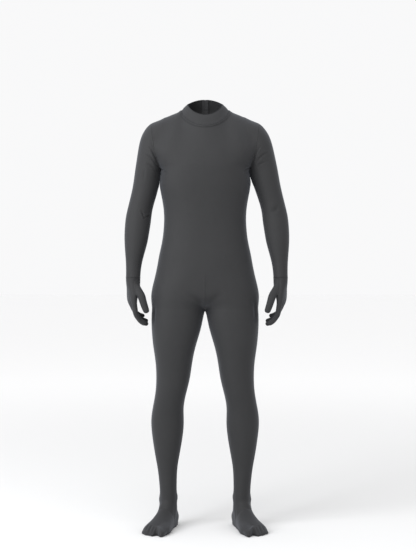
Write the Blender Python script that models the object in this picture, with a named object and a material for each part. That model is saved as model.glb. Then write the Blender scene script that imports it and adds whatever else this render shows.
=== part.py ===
"""A full body suit of plain stretch knit in its worn, hollow form.

Metres, +Z up, the front towards -Y, +X the wearer's left. The origin lies on the centre line at the
height of the shoulders, where the wearer holds the suit up. Heights in the tables are above the
soles, and the left half is worked out first: the right half mirrors it.
"""

from math import cos, pi, radians, sin

import bmesh
import bpy
import numpy as np
from mathutils import Vector

# Driving sizes
HOLD_HEIGHT = 1.500  # the soles to the shoulders
WALL = 0.0014  # the doubled thickness of the knit at its heaviest
GLOVE_WALL = 0.0010
SEAM_GAP = 0.0003  # between pieces sewn to each other
WIDE_GAPS = {"sleeve": 0.0010, "sole": 0.0010, "glove_thumb": 0.0018}  # at sharply bent seams
SHOULDER_Y = 0.020  # the shoulder seam's place between front and back
NECK_HALF = 0.087  # the neckline's half width
NECK_FRONT = 0.096  # from the shoulder seam to the neckline's front
NECK_BACK = 0.066
NECK_LOW = 1.478  # the neckline's height at the front
NECK_NAPE = 1.552
RIM_HALF = 0.066  # the collar's upper edge
RIM_FRONT = 0.067
RIM_BACK = 0.054
RIM_HEIGHTS = (1.519, 1.565, 1.590)  # front, side, back
UNDERARM = 1.318
TRUNK_TOP = 1.600
TRUNK_BOTTOM = 0.825
ANKLE = 0.130
ARM_LEAN = 0.0065  # both arms hang this much towards the wearer's left
DART_TOP = 0.935  # the short centre seam at the front starts here and runs to the fork
FOOT_TURN = radians(14.5)
HEEL = (0.1227, 0.0939)  # the back of the heel, in plan
SOLE_EDGE = 0.006  # height of the seam round the sole
SOLE_STEPS = ((0.0012, 0.0020), (0.0034, 0.0))  # how far in and how high, towards the flat
CLEFT = (0.243, -0.0115)  # between the first two toes: along the foot and across it
HAND_TURN = radians(18)  # how far the back of the hand looks forward
PALM = 0.104  # wrist to the webs between the fingers
ZIP_HALF = 0.0030  # half the opening that shows the chain
ZIP_BOTTOM = 0.985
TAPE_HALF = 0.0120
TAPE_WALL = 0.0009
ZIP_GAP = 0.0008
CHAIN_WIDTH = 0.0050
CHAIN_WALL = 0.0018
SLIDER = (0.0096, 0.0018, 0.0120)
SLIDER_LIFT = 0.0008  # above the cloth, clear of the chain
PIN_RADIUS = 0.0008
PIN_RISE = 0.0029
PIN_PLACE = -0.0025  # from the slider's middle, downwards
CHEEK_LENGTH = 0.0040  # the two ears that hold the pin
CHEEK_TOP = 0.0008  # metal above the pin
CHEEK_SINK = 0.0004  # how far the ears and the plate run into each other
CHEEK_INSET = 0.0001  # from the plate's sides
EYE_RADII = (0.0012, 0.0023)  # the pull's eye round the pin
PULL = (0.0056, 0.0012, 0.0260)
PULL_CLEARANCE = 0.0003
PULL_TILT = 7  # the tab's end lies nearer the cloth than its eye

FORWARD = (0, -1, 0)
BACKWARD = (0, 1, 0)
DOWNWARD = (0, 0, -1)

COLUMNS = 10  # across each half of a panel
SHOULDER_COLUMNS = 4  # of those, along the shoulder seam
YOKE_ROWS = 7
COLLAR_ROWS = 3
COLLAR_SWELL = 0.0015
TIP_ROWS = 2
THUMB_RINGS = 4


def table(columns, *rows):
    """Rows of sizes under named columns."""
    return dict(zip(columns.split(), np.array(rows, float).T))


TRUNK = table(
    "height half_width front back widest power",
    (0.800, 0.196, -0.088, 0.108, 0.005, 2.3),
    (0.847, 0.1934, -0.101, 0.121, 0.005, 2.3),
    (0.884, 0.1887, -0.106, 0.127, 0.005, 2.3),
    (0.921, 0.1832, -0.109, 0.126, 0.005, 2.3),
    (0.958, 0.1775, -0.110, 0.120, 0.005, 2.3),
    (0.995, 0.1712, -0.109, 0.111, 0.005, 2.35),
    (1.032, 0.1640, -0.108, 0.102, 0.005, 2.4),
    (1.068, 0.1565, -0.107, 0.095, 0.005, 2.4),
    (1.105, 0.1525, -0.107, 0.092, 0.006, 2.4),
    (1.142, 0.1506, -0.109, 0.094, 0.006, 2.4),
    (1.179, 0.1524, -0.113, 0.099, 0.007, 2.4),
    (1.216, 0.1583, -0.118, 0.105, 0.008, 2.45),
    (1.253, 0.1672, -0.123, 0.112, 0.010, 2.5),
    (1.290, 0.1665, -0.127, 0.118, 0.011, 2.55),
    (1.318, 0.1615, -0.127, 0.121, 0.012, 2.6),
    (1.345, 0.1700, -0.124, 0.123, 0.012, 2.6),
    (1.370, 0.1800, -0.118, 0.123, 0.013, 2.6),
    (1.400, 0.1860, -0.108, 0.121, 0.014, 2.6),
    (1.430, 0.1890, -0.096, 0.117, 0.016, 2.5),
    (1.455, 0.1800, -0.084, 0.111, 0.018, 2.4),
    (1.480, 0.1550, -0.072, 0.104, 0.020, 2.3),
    (1.510, 0.1150, -0.056, 0.094, 0.020, 2.2),
    (1.540, 0.0700, -0.040, 0.084, 0.020, 2.0),
)
LEG = table(
    "height centre half_width front back power turn",
    (0.060, 0.1360, 0.0290, -0.004, 0.075, 2.0, 14.5),
    (0.100, 0.1358, 0.0300, -0.005, 0.077, 2.0, 14.5),
    (0.130, 0.1362, 0.0298, -0.004, 0.074, 2.0, 14.5),
    (0.160, 0.1374, 0.0303, -0.004, 0.071, 2.0, 14.0),
    (0.183, 0.1388, 0.0328, -0.004, 0.072, 2.0, 13.0),
    (0.220, 0.1400, 0.0390, -0.006, 0.078, 2.05, 11.5),
    (0.257, 0.1406, 0.0436, -0.010, 0.084, 2.1, 10.0),
    (0.294, 0.1408, 0.0487, -0.016, 0.090, 2.1, 9.0),
    (0.330, 0.1396, 0.0558, -0.021, 0.096, 2.15, 8.0),
    (0.367, 0.1391, 0.0606, -0.025, 0.098, 2.2, 7.0),
    (0.404, 0.1399, 0.0606, -0.030, 0.094, 2.2, 6.0),
    (0.441, 0.1372, 0.0568, -0.037, 0.086, 2.2, 5.0),
    (0.478, 0.1310, 0.0555, -0.047, 0.077, 2.25, 4.0),
    (0.515, 0.1238, 0.0586, -0.055, 0.073, 2.25, 3.0),
    (0.552, 0.1186, 0.0616, -0.061, 0.074, 2.2, 2.0),
    (0.589, 0.1160, 0.0644, -0.067, 0.077, 2.2, 1.0),
    (0.626, 0.1148, 0.0692, -0.075, 0.080, 2.2, 0.0),
    (0.663, 0.1137, 0.0760, -0.082, 0.085, 2.2, 0.0),
    (0.699, 0.1102, 0.0838, -0.088, 0.090, 2.2, 0.0),
    (0.736, 0.1064, 0.0900, -0.092, 0.096, 2.2, 0.0),
    (0.773, 0.1030, 0.0944, -0.095, 0.104, 2.2, 0.0),
    (0.800, 0.1008, 0.0956, -0.096, 0.111, 2.2, 0.0),
    (0.830, 0.0990, 0.0952, -0.097, 0.118, 2.2, 0.0),
    (0.870, 0.0960, 0.0930, -0.096, 0.121, 2.1, 0.0),
    (0.930, 0.0860, 0.0860, -0.088, 0.112, 2.0, 0.0),
)
# Where the rays of each level start, in plan. The place moves from the body's middle into the leg.
LEVELS = table(
    "height centre_x centre_y",
    (0.130, 0.1362, 0.035),
    (0.257, 0.1406, 0.034),
    (0.404, 0.1399, 0.030),
    (0.552, 0.1186, 0.010),
    (0.700, 0.1100, 0.004),
    (0.803, 0.1005, 0.006),
    (0.845, 0.0800, 0.006),
    (0.900, 0.0350, 0.006),
    (0.970, 0.0000, 0.006),
    (1.142, 0.0000, 0.007),
    (1.318, 0.0000, 0.012),
)
# From the neck over the shoulder and down the arm: radius across, and half depth in y.
ARM = table(
    "station x y z radius depth",
    (0, 0.030, 0.022, 1.502, 0.048, 0.050),
    (1, 0.081, 0.022, 1.4990, 0.0455, 0.058),
    (2, 0.142, 0.020, 1.4690, 0.0460, 0.062),
    (3, 0.176, 0.016, 1.4530, 0.0465, 0.062),
    (4, 0.1925, 0.013, 1.4200, 0.0510, 0.064),
    (5, 0.2035, 0.010, 1.3700, 0.0508, 0.063),
    (6, 0.2118, 0.008, 1.3267, 0.0500, 0.060),
    (7, 0.2232, 0.006, 1.2710, 0.0484, 0.057),
    (8, 0.2354, 0.006, 1.2160, 0.0440, 0.052),
    (9, 0.2466, 0.004, 1.1790, 0.0450, 0.050),
    (10, 0.2522, 0.000, 1.1420, 0.0470, 0.049),
    (11, 0.2568, -0.006, 1.1050, 0.0460, 0.048),
    (12, 0.2600, -0.010, 1.0680, 0.0434, 0.046),
    (13, 0.2636, -0.016, 1.0315, 0.0379, 0.041),
    (14, 0.2668, -0.020, 0.9946, 0.0316, 0.035),
    (15, 0.2692, -0.024, 0.9577, 0.0275, 0.031),
    (16, 0.2705, -0.026, 0.9250, 0.0265, 0.030),
    (17, 0.2715, -0.027, 0.9050, 0.0260, 0.029),
)
# Once round the armhole, from under the arm over the front to the shoulder and down the back.
ARMHOLE = table(
    "place x y z",
    (0, 0.1615, 0.012, 1.318),
    (1, 0.1670, -0.028, 1.331),
    (2, 0.1790, -0.053, 1.370),
    (3, 0.1900, -0.052, 1.425),
    (4, 0.1970, -0.030, 1.470),
    (5, 0.2000, SHOULDER_Y, 1.4955),
    (6, 0.1940, 0.060, 1.470),
    (7, 0.1850, 0.082, 1.425),
    (8, 0.1760, 0.083, 1.370),
    (9, 0.1660, 0.056, 1.331),
    (10, 0.1615, 0.012, 1.318),
)
# Each ring of the sleeve head, from the armhole down: its inner and its outer end.
SLEEVE_HEAD = table(
    "ring inner_x inner_z outer_x outer_z",
    (0, 0.1615, 1.318, 0.2000, 1.4955),
    (1, 0.1640, 1.306, 0.2210, 1.4790),
    (2, 0.1665, 1.293, 0.2395, 1.4480),
    (3, 0.1690, 1.279, 0.2505, 1.4080),
    (4, 0.1720, 1.263, 0.2545, 1.3600),
    (5, 0.1765, 1.243, 0.2620, 1.3080),
    (6, 0.1830, 1.218, 0.2705, 1.2560),
    (7, 0.1945, 1.186, 0.2880, 1.1960),
)
SLEEVE_ENDS = ("inner_x", "inner_z", "outer_x", "outer_z")
SLEEVE_LEVELS = (1.156, 1.128, 1.092, 1.056, 1.018, 0.982, 0.952, 0.925)
FRONT_LEVELS = (
    *(1.318, 1.270, 1.220, 1.165, 1.110, 1.060, 1.015, 0.985, 0.980, 0.945, 0.905, 0.865, 0.835, 0.815),
    *(0.0, -0.030, -0.075, -0.130, -0.190, -0.250, -0.305, -0.360, -0.415, -0.480, -0.550, -0.610),
)
FORK_PLACE = 14  # the entry above that is the fork: later ones count down from it
FOOT = table(
    "along centre half_width top power",
    (0.000, 0.000, 0.0150, 0.034, 2.0),
    (0.010, 0.000, 0.0235, 0.052, 2.1),
    (0.030, 0.000, 0.0315, 0.075, 2.2),
    (0.060, 0.001, 0.0335, 0.096, 2.2),
    (0.090, 0.001, 0.0350, 0.088, 2.1),
    (0.120, 0.001, 0.0380, 0.071, 2.0),
    (0.150, 0.002, 0.0440, 0.053, 2.0),
    (0.180, 0.003, 0.0500, 0.039, 2.1),
    (0.200, 0.004, 0.0500, 0.031, 2.2),
    (0.215, 0.005, 0.0440, 0.025, 2.2),
    (0.230, 0.004, 0.0320, 0.020, 2.2),
)
TOES = table(
    "along across tip_along tip_across radius tip_radius half tip_half",
    (0.185, -0.0265, 0.2460, -0.0250, 0.0165, 0.0125, 0.0195, 0.0150),
    (0.185, -0.0010, 0.2460, 0.0030, 0.0140, 0.0095, 0.0115, 0.0088),
    (0.178, 0.0180, 0.2370, 0.0200, 0.0135, 0.0092, 0.0110, 0.0085),
    (0.170, 0.0345, 0.2250, 0.0350, 0.0130, 0.0090, 0.0105, 0.0082),
    (0.158, 0.0465, 0.2100, 0.0475, 0.0125, 0.0088, 0.0100, 0.0082),
)
# Front rows on the foot: the sides' height, or their place along the sole once that is reached, and
# how far the row's middle is tipped from straight ahead to straight up.
INSTEP = table(
    "side_height side_along tip",
    (0.100, 0.078, 26),
    (0.068, 0.082, 48),
    (0.034, 0.086, 60),
    (SOLE_EDGE, 0.090, 65),
    (SOLE_EDGE, 0.118, 82),
    (SOLE_EDGE, 0.148, 88),
    (SOLE_EDGE, 0.178, 90),
)
TOE_ROWS = table(
    "side_along tip",
    (0.196, 62),
    (0.207, 34),
    (0.216, 12),
)
TOE_END = 0.222
HEEL_ROWS = 4  # of the instep rows, those whose sides are shared with the heel
PALM_SECTIONS = table(
    "distal half_width half_thick lift",
    (0.000, 0.0300, 0.0265, 0.000),
    (0.022, 0.0320, 0.0225, 0.001),
    (0.048, 0.0380, 0.0180, 0.003),
    (0.072, 0.0415, 0.0160, 0.004),
    (0.090, 0.0412, 0.0140, 0.005),
    (0.104, 0.0405, 0.0115, 0.004),
)
FINGERS = table(
    "across base first second third bend_1 bend_2 bend_3 radius",
    (-0.0305, 0.016, 0.049, 0.028, 0.016, 8, 36, 60, 0.0096),
    (-0.0100, 0.016, 0.053, 0.032, 0.017, 14, 44, 68, 0.0098),
    (0.0102, 0.016, 0.049, 0.030, 0.017, 20, 50, 72, 0.0094),
    (0.0293, 0.016, 0.038, 0.023, 0.015, 24, 54, 74, 0.0086),
)
FINGER_ROWS = (0.0, 0.20, 0.42, 0.60, 0.80, 1.0)
PALM_ROWS = (0.0, 0.20, 0.40, 0.62, 0.80, 1.0)
FINGER_COLUMNS = 3
THUMB = table(
    "station x y z radius",
    (0, 0.2600, -0.0520, 0.8780, 0.0200),
    (1, 0.2410, -0.0605, 0.8630, 0.0145),
    (2, 0.2340, -0.0640, 0.8440, 0.0138),
    (3, 0.2282, -0.0660, 0.8250, 0.0128),
    (4, 0.2215, -0.0668, 0.8060, 0.0113),
)
THUMB_HOLE = (0.20, 0.62)  # the part of the palm's length where the thumb is set in
THUMB_COLUMNS = 2


def profile(sizes, column, at, key="height"):
    """A smooth curve through one column of a table, flat beyond its ends."""
    x, y = sizes[key], sizes[column]
    at = np.clip(at, x[0], x[-1])
    gap = np.diff(x)
    slope = np.diff(y) / gap
    product = slope[:-1] * slope[1:]
    total = slope[:-1] + slope[1:]
    inner = np.where(product > 0, 2 * product / np.where(product > 0, total, 1), 0)
    tangent = np.concatenate([slope[:1], inner, slope[-1:]])
    i = np.clip(np.searchsorted(x, at, side="right") - 1, 0, len(x) - 2)
    t = (at - x[i]) / gap[i]
    rise = t * t * (3 - 2 * t)
    bend = t * (1 - t) * gap[i] * ((1 - t) * tangent[i] - t * tangent[i + 1])
    return y[i] + (y[i + 1] - y[i]) * rise + bend


def unit(v):
    return v / np.maximum(np.linalg.norm(v, axis=-1, keepdims=True), 1e-12)


def ease(t):
    t = np.clip(t, 0, 1)
    return t * t * (3 - 2 * t)


# Fields: negative inside the form, positive outside


def oval(x, y, half_x, half_y, power):
    reach = (np.abs(x / half_x) ** power + np.abs(y / half_y) ** power) ** (1 / power)
    return (reach - 1) * np.minimum(half_x, half_y)


def joined(a, b, softness):
    mix = np.clip(0.5 + 0.5 * (b - a) / softness, 0, 1)
    return b + (a - b) * mix - softness * mix * (1 - mix)


def common(a, b, softness):
    return -joined(-a, -b, softness)


def swept(points, path):
    """Distance to a chain of ovals. Each path row holds a place, a radius and a half size in y."""
    nearest = np.full(len(points), 9.0)
    for a, b in zip(path[:-1], path[1:]):
        run = b[:3] - a[:3]
        t = np.clip((points - a[:3]) @ run / (run @ run), 0, 1)
        here = a + t[:, None] * (b - a)
        off = points - here[:, :3]
        off[:, 1] *= here[:, 3] / here[:, 4]
        nearest = np.minimum(nearest, np.linalg.norm(off, axis=1) - here[:, 3])
    return nearest


def smooth_path(sizes, columns, steps):
    at = np.linspace(sizes["station"][0], sizes["station"][-1], steps)
    return np.stack([profile(sizes, c, at, "station") for c in columns.split()], 1)


ARM_PATH = smooth_path(ARM, "x y z radius depth", 52)
SHOULDER_PATH = ARM_PATH[:13]


def trunk_field(p):
    z = p[:, 2]
    widest = profile(TRUNK, "widest", z)
    y = p[:, 1] - widest
    front, back = widest - profile(TRUNK, "front", z), profile(TRUNK, "back", z) - widest
    depth = np.where(y < 0, front, back)
    side = oval(p[:, 0], y, profile(TRUNK, "half_width", z), depth, profile(TRUNK, "power", z))
    return common(common(side, TRUNK_BOTTOM - z, 0.05), z - TRUNK_TOP, 0.02)


def leg_field(p, side=1):
    z = p[:, 2]
    front, back = profile(LEG, "front", z), profile(LEG, "back", z)
    x = side * p[:, 0] - profile(LEG, "centre", z)
    half = profile(LEG, "half_width", z)
    shape = oval(x, p[:, 1] - (front + back) / 2, half, (back - front) / 2, profile(LEG, "power", z))
    return common(common(shape, 0.055 - z, 0.01), z - LEG["height"][-1], 0.02)


def foot_axes():
    ahead = np.array([sin(FOOT_TURN), -cos(FOOT_TURN), 0])
    outward = np.array([cos(FOOT_TURN), sin(FOOT_TURN), 0])
    return ahead, outward


def foot_point(along, across, z):
    ahead, outward = foot_axes()
    return np.array([*HEEL, 0]) + along * ahead + across * outward + np.array([0, 0, z])


def foot_field(p):
    ahead, outward = foot_axes()
    off = p - np.array([*HEEL, 0])
    local = np.stack([off @ ahead, off @ outward, p[:, 2]], 1)
    along, z = local[:, 0], local[:, 2]
    widest = 0.016
    top = np.where(z > widest, profile(FOOT, "top", along, "along") - widest, widest)
    power = np.where(z > widest, profile(FOOT, "power", along, "along"), 4.0)
    across = local[:, 1] - profile(FOOT, "centre", along, "along")
    body = oval(across, z - widest, profile(FOOT, "half_width", along, "along"), top, power)
    body = common(common(body, -along, 0.02), along - 0.226, 0.02)
    for i in range(len(TOES["along"])):
        toe = {c: TOES[c][i] for c in TOES}
        path = np.array(
            [
                (toe["along"], toe["across"], toe["radius"], toe["radius"], toe["half"]),
                (toe["tip_along"], toe["tip_across"], toe["tip_radius"], toe["tip_radius"], toe["tip_half"]),
            ]
        )
        body = joined(body, swept(local, path), 0.004)
    return body


def body_field(p):
    """The trunk, the shoulder and both legs."""
    upper = joined(trunk_field(p), swept(p, SHOULDER_PATH), 0.020)
    legs = joined(leg_field(p), leg_field(p, -1), 0.020)
    return joined(upper, legs, 0.025)


def low_field(p):
    """The left leg from the knee down, with its foot."""
    return joined(leg_field(p), foot_field(p), 0.018)


def arm_field(p):
    return swept(p, ARM_PATH[8:])


def hit(starts, directions, field, reach=0.45, steps=64):
    """Where rays that start inside a form leave it."""
    directions = unit(np.atleast_2d(directions))
    starts = np.broadcast_to(starts, directions.shape)
    low, high = np.zeros(len(directions)), np.full(len(directions), reach)
    inside = np.ones(len(directions), bool)
    for step in np.linspace(0, reach, steps)[1:]:
        out = field(starts + directions * step) > 0
        high = np.where(inside & out, step, high)
        inside &= ~out
        low = np.where(inside, step, low)
    for _ in range(26):
        middle = (low + high) / 2
        out = field(starts + directions * middle[:, None]) > 0
        high, low = np.where(out, middle, high), np.where(out, low, middle)
    return starts + directions * high[:, None]


# Lines on the form


def armhole(fraction):
    """Round the armhole: 0 under the arm, 0.5 at the shoulder, on over the back to 1."""
    at = np.atleast_1d(fraction) * 10
    return np.stack([closed_curve(ARMHOLE, c, at) for c in "xyz"], 1)


def closed_curve(sizes, column, at):
    """A smooth closed curve through a column whose last row repeats its first."""
    y = sizes[column][:-1]
    count = len(y)
    i = np.floor(at).astype(int)
    t = at - i
    a, b, c, d = (y[(i + k) % count] for k in (-1, 0, 1, 2))
    return b + 0.5 * t * (c - a + t * (2 * a - 5 * b + 4 * c - d + t * (3 * (b - c) + d - a)))


def shoulder_top(x):
    """Points on the ridge of the shoulder."""
    x = np.atleast_1d(x)
    starts = np.stack([x, x * 0 + SHOULDER_Y, x * 0 + 1.44], 1)
    up = np.tile([0.0, 0.0, 1.0], (len(x), 1))
    return hit(starts, up, lambda p: joined(trunk_field(p), swept(p, SHOULDER_PATH), 0.02), 0.2)


NECK_SIDE = shoulder_top(NECK_HALF)[0]


def neckline(angle):
    """A quarter turn per end: -90 degrees at the front, 0 at the shoulder seam, 90 at the nape."""
    angle = np.atleast_1d(angle)
    front = np.maximum(-np.sin(angle), 0)
    back = np.maximum(np.sin(angle), 0)
    x = NECK_HALF * np.cos(angle)
    y = SHOULDER_Y - NECK_FRONT * front + NECK_BACK * back
    z = NECK_SIDE[2] + (NECK_LOW - NECK_SIDE[2]) * front**1.2 + (NECK_NAPE - NECK_SIDE[2]) * back**2
    return np.stack([x, y, z], 1)


def collar_rim(angle):
    angle = np.atleast_1d(angle)
    front = np.maximum(-np.sin(angle), 0)
    back = np.maximum(np.sin(angle), 0)
    low, side, high = RIM_HEIGHTS
    x = RIM_HALF * np.cos(angle)
    y = SHOULDER_Y - 0.008 - RIM_FRONT * front + RIM_BACK * back
    z = side + (low - side) * front**1.4 + (high - side) * back**1.6
    return np.stack([x, y, z], 1)


def fork():
    """The lowest point between the legs, where the four leg seams meet."""
    start = np.array([0.0, 0.012, 0.86])
    return hit(start, np.array([0.0, 0.0, -1.0]), body_field, 0.2)[0]


FORK = fork()


def levels():
    given = np.array(FRONT_LEVELS)
    return np.concatenate([given[:FORK_PLACE], FORK[2] + given[FORK_PLACE:]])


def level_rows(heights, facing, columns):
    """Levels of a panel, each from the side seam to the centre line or the inner leg seam."""
    count = len(heights)
    starts = np.stack([*(profile(LEVELS, c, heights) for c in ("centre_x", "centre_y")), heights], 1)
    turn = np.radians(profile(LEG, "turn", heights))
    above = heights > FORK[2] + 1e-6
    middle = np.stack([heights * 0, heights * 0 + FORK[1], heights], 1)[above]
    inner = np.tile(FORK, (count, 1))
    inner[above] = hit(middle, np.tile([0.0, facing, 0.0], (len(middle), 1)), body_field)
    off = inner - starts
    end = facing * (np.arctan2(facing * off[:, 1], off[:, 0]) % (2 * pi))
    end = np.where(heights > FORK[2] - 1e-6, end, turn + facing * pi)
    angles = turn[:, None] + (end - turn)[:, None] * np.linspace(0, 1, columns + 1)
    rays = np.stack([np.cos(angles), np.sin(angles), angles * 0], 2)
    rows = np.zeros_like(rays)
    for part, field in ((heights > 0.30, body_field), (heights <= 0.30, low_field)):
        begin = np.repeat(starts[part], columns + 1, axis=0)
        rows[part] = hit(begin, rays[part].reshape(-1, 3), field).reshape(-1, columns + 1, 3)
    top = heights > FORK[2] - 1e-6
    rows[top, -1] = inner[top]
    return rows


def settled(points, field, rounds=10):
    """The points moved onto the form the shortest way."""
    step = 1e-4
    for _ in range(rounds):
        here = field(points)
        slope = np.stack([(field(points + step * axis) - here) / step for axis in np.eye(3)], 1)
        points = points - slope * (here / np.maximum((slope**2).sum(axis=1), 0.2))[:, None]
    return points


def patch(top, bottom, first, last):
    """A grid of points spanned between four edges."""
    u = np.linspace(0, 1, len(top))[None, :, None]
    v = np.linspace(0, 1, len(first))[:, None, None]
    corners = (1 - v) * ((1 - u) * first[0] + u * last[0]) + v * ((1 - u) * first[-1] + u * last[-1])
    return (1 - v) * top + v * bottom + (1 - u) * first[:, None] + u * last[:, None] - corners


def yoke(bottom, facing, columns, rows):
    """The panel above the underarm, from the shoulder and neck seams down to the given row."""
    seam = SHOULDER_COLUMNS * columns // COLUMNS
    side = armhole(np.linspace(0.5, 0.0 if facing < 0 else 1.0, rows + 1))
    x = np.linspace(side[0, 0], NECK_HALF, seam + 1)[:-1]
    top = np.concatenate([shoulder_top(x), neckline(facing * np.linspace(0, pi / 2, columns - seam + 1))])
    top[0] = side[0]
    down = np.linspace(0, 1, rows + 1)[:, None]
    centre = settled(top[-1] + (bottom[-1] - top[-1]) * down, body_field)
    centre[:, 0] = 0
    centre += (top[-1] - centre[0]) * (1 - down)
    whole = patch(top, bottom, side, centre)
    flat = settled(whole.reshape(-1, 3), body_field).reshape(whole.shape)
    change = patch(top - flat[0], bottom - flat[-1], side - flat[:, 0], centre - flat[:, -1])
    return flat + change


def fan_row(centre, outer, middle, inner, columns, field):
    """A row through two given end points, bulging towards the middle direction."""
    first, last = unit(outer - centre), unit(inner - centre)
    middle = unit(middle)
    half = columns // 2
    rays = []
    for a, b in ((first, middle), (middle, last)):
        angle = np.arccos(np.clip(a @ b, -1, 1))
        t = np.linspace(0, 1, half + 1)[:, None]
        rays.append((np.sin((1 - t) * angle) * a + np.sin(t * angle) * b) / np.sin(angle))
    rays = np.concatenate([rays[0], rays[1][1:]])
    row = hit(centre, rays, field, 0.2)
    row[0], row[-1] = outer, inner
    return row


def sole_side(along, side):
    _, outward = foot_axes()
    return hit(foot_point(along, 0.003, SOLE_EDGE), side * outward, foot_field, 0.1)[0]


def ankle_side(z, along, side):
    _, outward = foot_axes()
    centre = ankle_centre(z, along)
    return hit(centre, side * outward, low_field, 0.1)[0]


def ankle_centre(z, along):
    t = ease((ANKLE - z) / (ANKLE - 0.03))
    high = np.array([float(profile(LEVELS, "centre_x", z)), float(profile(LEVELS, "centre_y", z)), z])
    return high + (foot_point(along, 0.001, z) - high) * t


def instep_rows(columns):
    """The front panel from the ankle over the instep to the toe ends, and the heel's rows."""
    ahead, outward = foot_axes()
    up = np.array([0.0, 0.0, 1.0])
    front, heel = [], []
    for height, along, tip in zip(*(INSTEP[c] for c in ("side_height", "side_along", "tip"))):
        if height > SOLE_EDGE:
            ends = [ankle_side(height, along, side) for side in (1, -1)]
        else:
            ends = [sole_side(along, side) for side in (1, -1)]
        centre = (ends[0] + ends[1]) / 2
        centre[2] = max(height, 0.020)
        middle = ahead * cos(radians(tip)) + up * sin(radians(tip))
        front.append(fan_row(centre, ends[0], middle, ends[1], columns, low_field))
        if len(heel) < HEEL_ROWS:
            level = (ends[0] + ends[1]) / 2
            heel.append(fan_row(level, ends[0], -ahead, ends[1], columns, low_field))
    ball = foot_point(0.186, 0.004, 0.016)
    onward = foot_point(*CLEFT, 0.016) - ball
    for along, tip in zip(TOE_ROWS["side_along"], TOE_ROWS["tip"]):
        ends = [sole_side(along, side) for side in (1, -1)]
        middle = unit(onward) * cos(radians(tip)) + up * sin(radians(tip))
        front.append(fan_row(ball, ends[0], middle, ends[1], columns, low_field))
    ends = [sole_side(TOE_END, side) for side in (1, -1)]
    ball = foot_point(0.186, 0.004, SOLE_EDGE)
    front.append(fan_row(ball, ends[0], onward, ends[1], columns, low_field))
    return front, heel


# Panels of the left half, as grids of points: rows down, columns from the side seam inwards


def half_panels(columns, yoke_rows):
    halves = {}
    instep, heel = instep_rows(columns)
    for name, facing, end in (("front", -1, instep), ("back", 1, heel)):
        rows = level_rows(levels(), facing, columns)
        rows[0, 0] = armhole(0)[0]
        top = yoke(rows[0], facing, columns, yoke_rows)
        halves[name] = np.array([*top, *rows[1:], *end])
    first, last = halves["front"], halves["back"]
    shared = min(len(first), len(last))
    last[yoke_rows:shared, 0] = first[yoke_rows:shared, 0]
    below = yoke_rows + FORK_PLACE
    last[below:shared, -1] = first[below:shared, -1]
    return halves


def sole_loops(front, back):
    """The seam round the sole, then two loops inside it: the last one lies on the floor."""
    first = len(back) - 1
    toes, heel = front[-1], back[-1]
    outer, inner = front[first + 1 : -1, 0], front[first + 1 : -1, -1]
    loop = np.concatenate([heel[::-1], outer, toes, inner[::-1]])
    run = np.roll(loop, -1, axis=0) - np.roll(loop, 1, axis=0)
    inward = unit(np.stack([-run[:, 1], run[:, 0], run[:, 0] * 0], 1))
    if ((loop.mean(axis=0) - loop) * inward).sum() < 0:
        inward = -inward
    loops = [loop]
    for distance, height in SOLE_STEPS:
        step = loop + inward * distance
        step[:, 2] = height
        loops.append(step)
    return loops


def sleeve_grid(around, lean):
    """Rings from the armhole to the wrist, each from under the arm over the front."""
    loop = armhole(np.arange(around) / around)
    even = np.arange(around) * 2 * pi / around
    forward = np.array([0.0, -1.0, 0.0])
    spans = []
    for inner_x, inner_z, outer_x, outer_z in zip(*(SLEEVE_HEAD[c] for c in SLEEVE_ENDS)):
        across = np.array([inner_x - outer_x, 0, inner_z - outer_z])
        spans.append(((inner_x + outer_x) / 2, (inner_z + outer_z) / 2, unit(across)))
    head = len(spans) - 1
    spans += [(arm_x(z), z, np.array([-1.0, 0.0, 0.0])) for z in SLEEVE_LEVELS]
    rings = []
    for number, (x, z, inward) in enumerate(spans):
        centre = np.array([x, arm_y(z), z])
        if number == 0:
            off = loop - centre
            first = np.unwrap(np.arctan2(off @ forward, off @ inward))
        angle = even + (first - even) * (1 - ease(number / 4))
        rays = np.cos(angle)[:, None] * inward + np.sin(angle)[:, None] * forward
        ring = hit(centre, rays, arm_field, 0.2)
        if number == 0:
            shift = loop - ring
        ring = ring + shift * (1 - ease(number / 3.5))
        ring[:, 0] += lean * ease(number / head)
        rings.append(ring)
    return np.array(rings)


def arm_x(z):
    return float(np.interp(-z, -ARM_PATH[20:, 2], ARM_PATH[20:, 0]))


def arm_y(z):
    return float(np.interp(-z, -ARM_PATH[12:, 2], ARM_PATH[12:, 1]))


# The hand, in distances from the wrist: distal, across towards the little finger, and dorsal


def hand_axes():
    distal = np.array([0.0, 0.0, -1.0])
    across = np.array([sin(HAND_TURN), cos(HAND_TURN), 0.0])
    dorsal = np.array([cos(HAND_TURN), -sin(HAND_TURN), 0.0])
    return distal, across, dorsal


def hand_point(distal, across, dorsal):
    axes = hand_axes()
    wrist = np.array([ARM["x"][16], ARM["y"][16], ARM["z"][16]])
    return wrist + distal * axes[0] + across * axes[1] + dorsal * axes[2]


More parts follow.
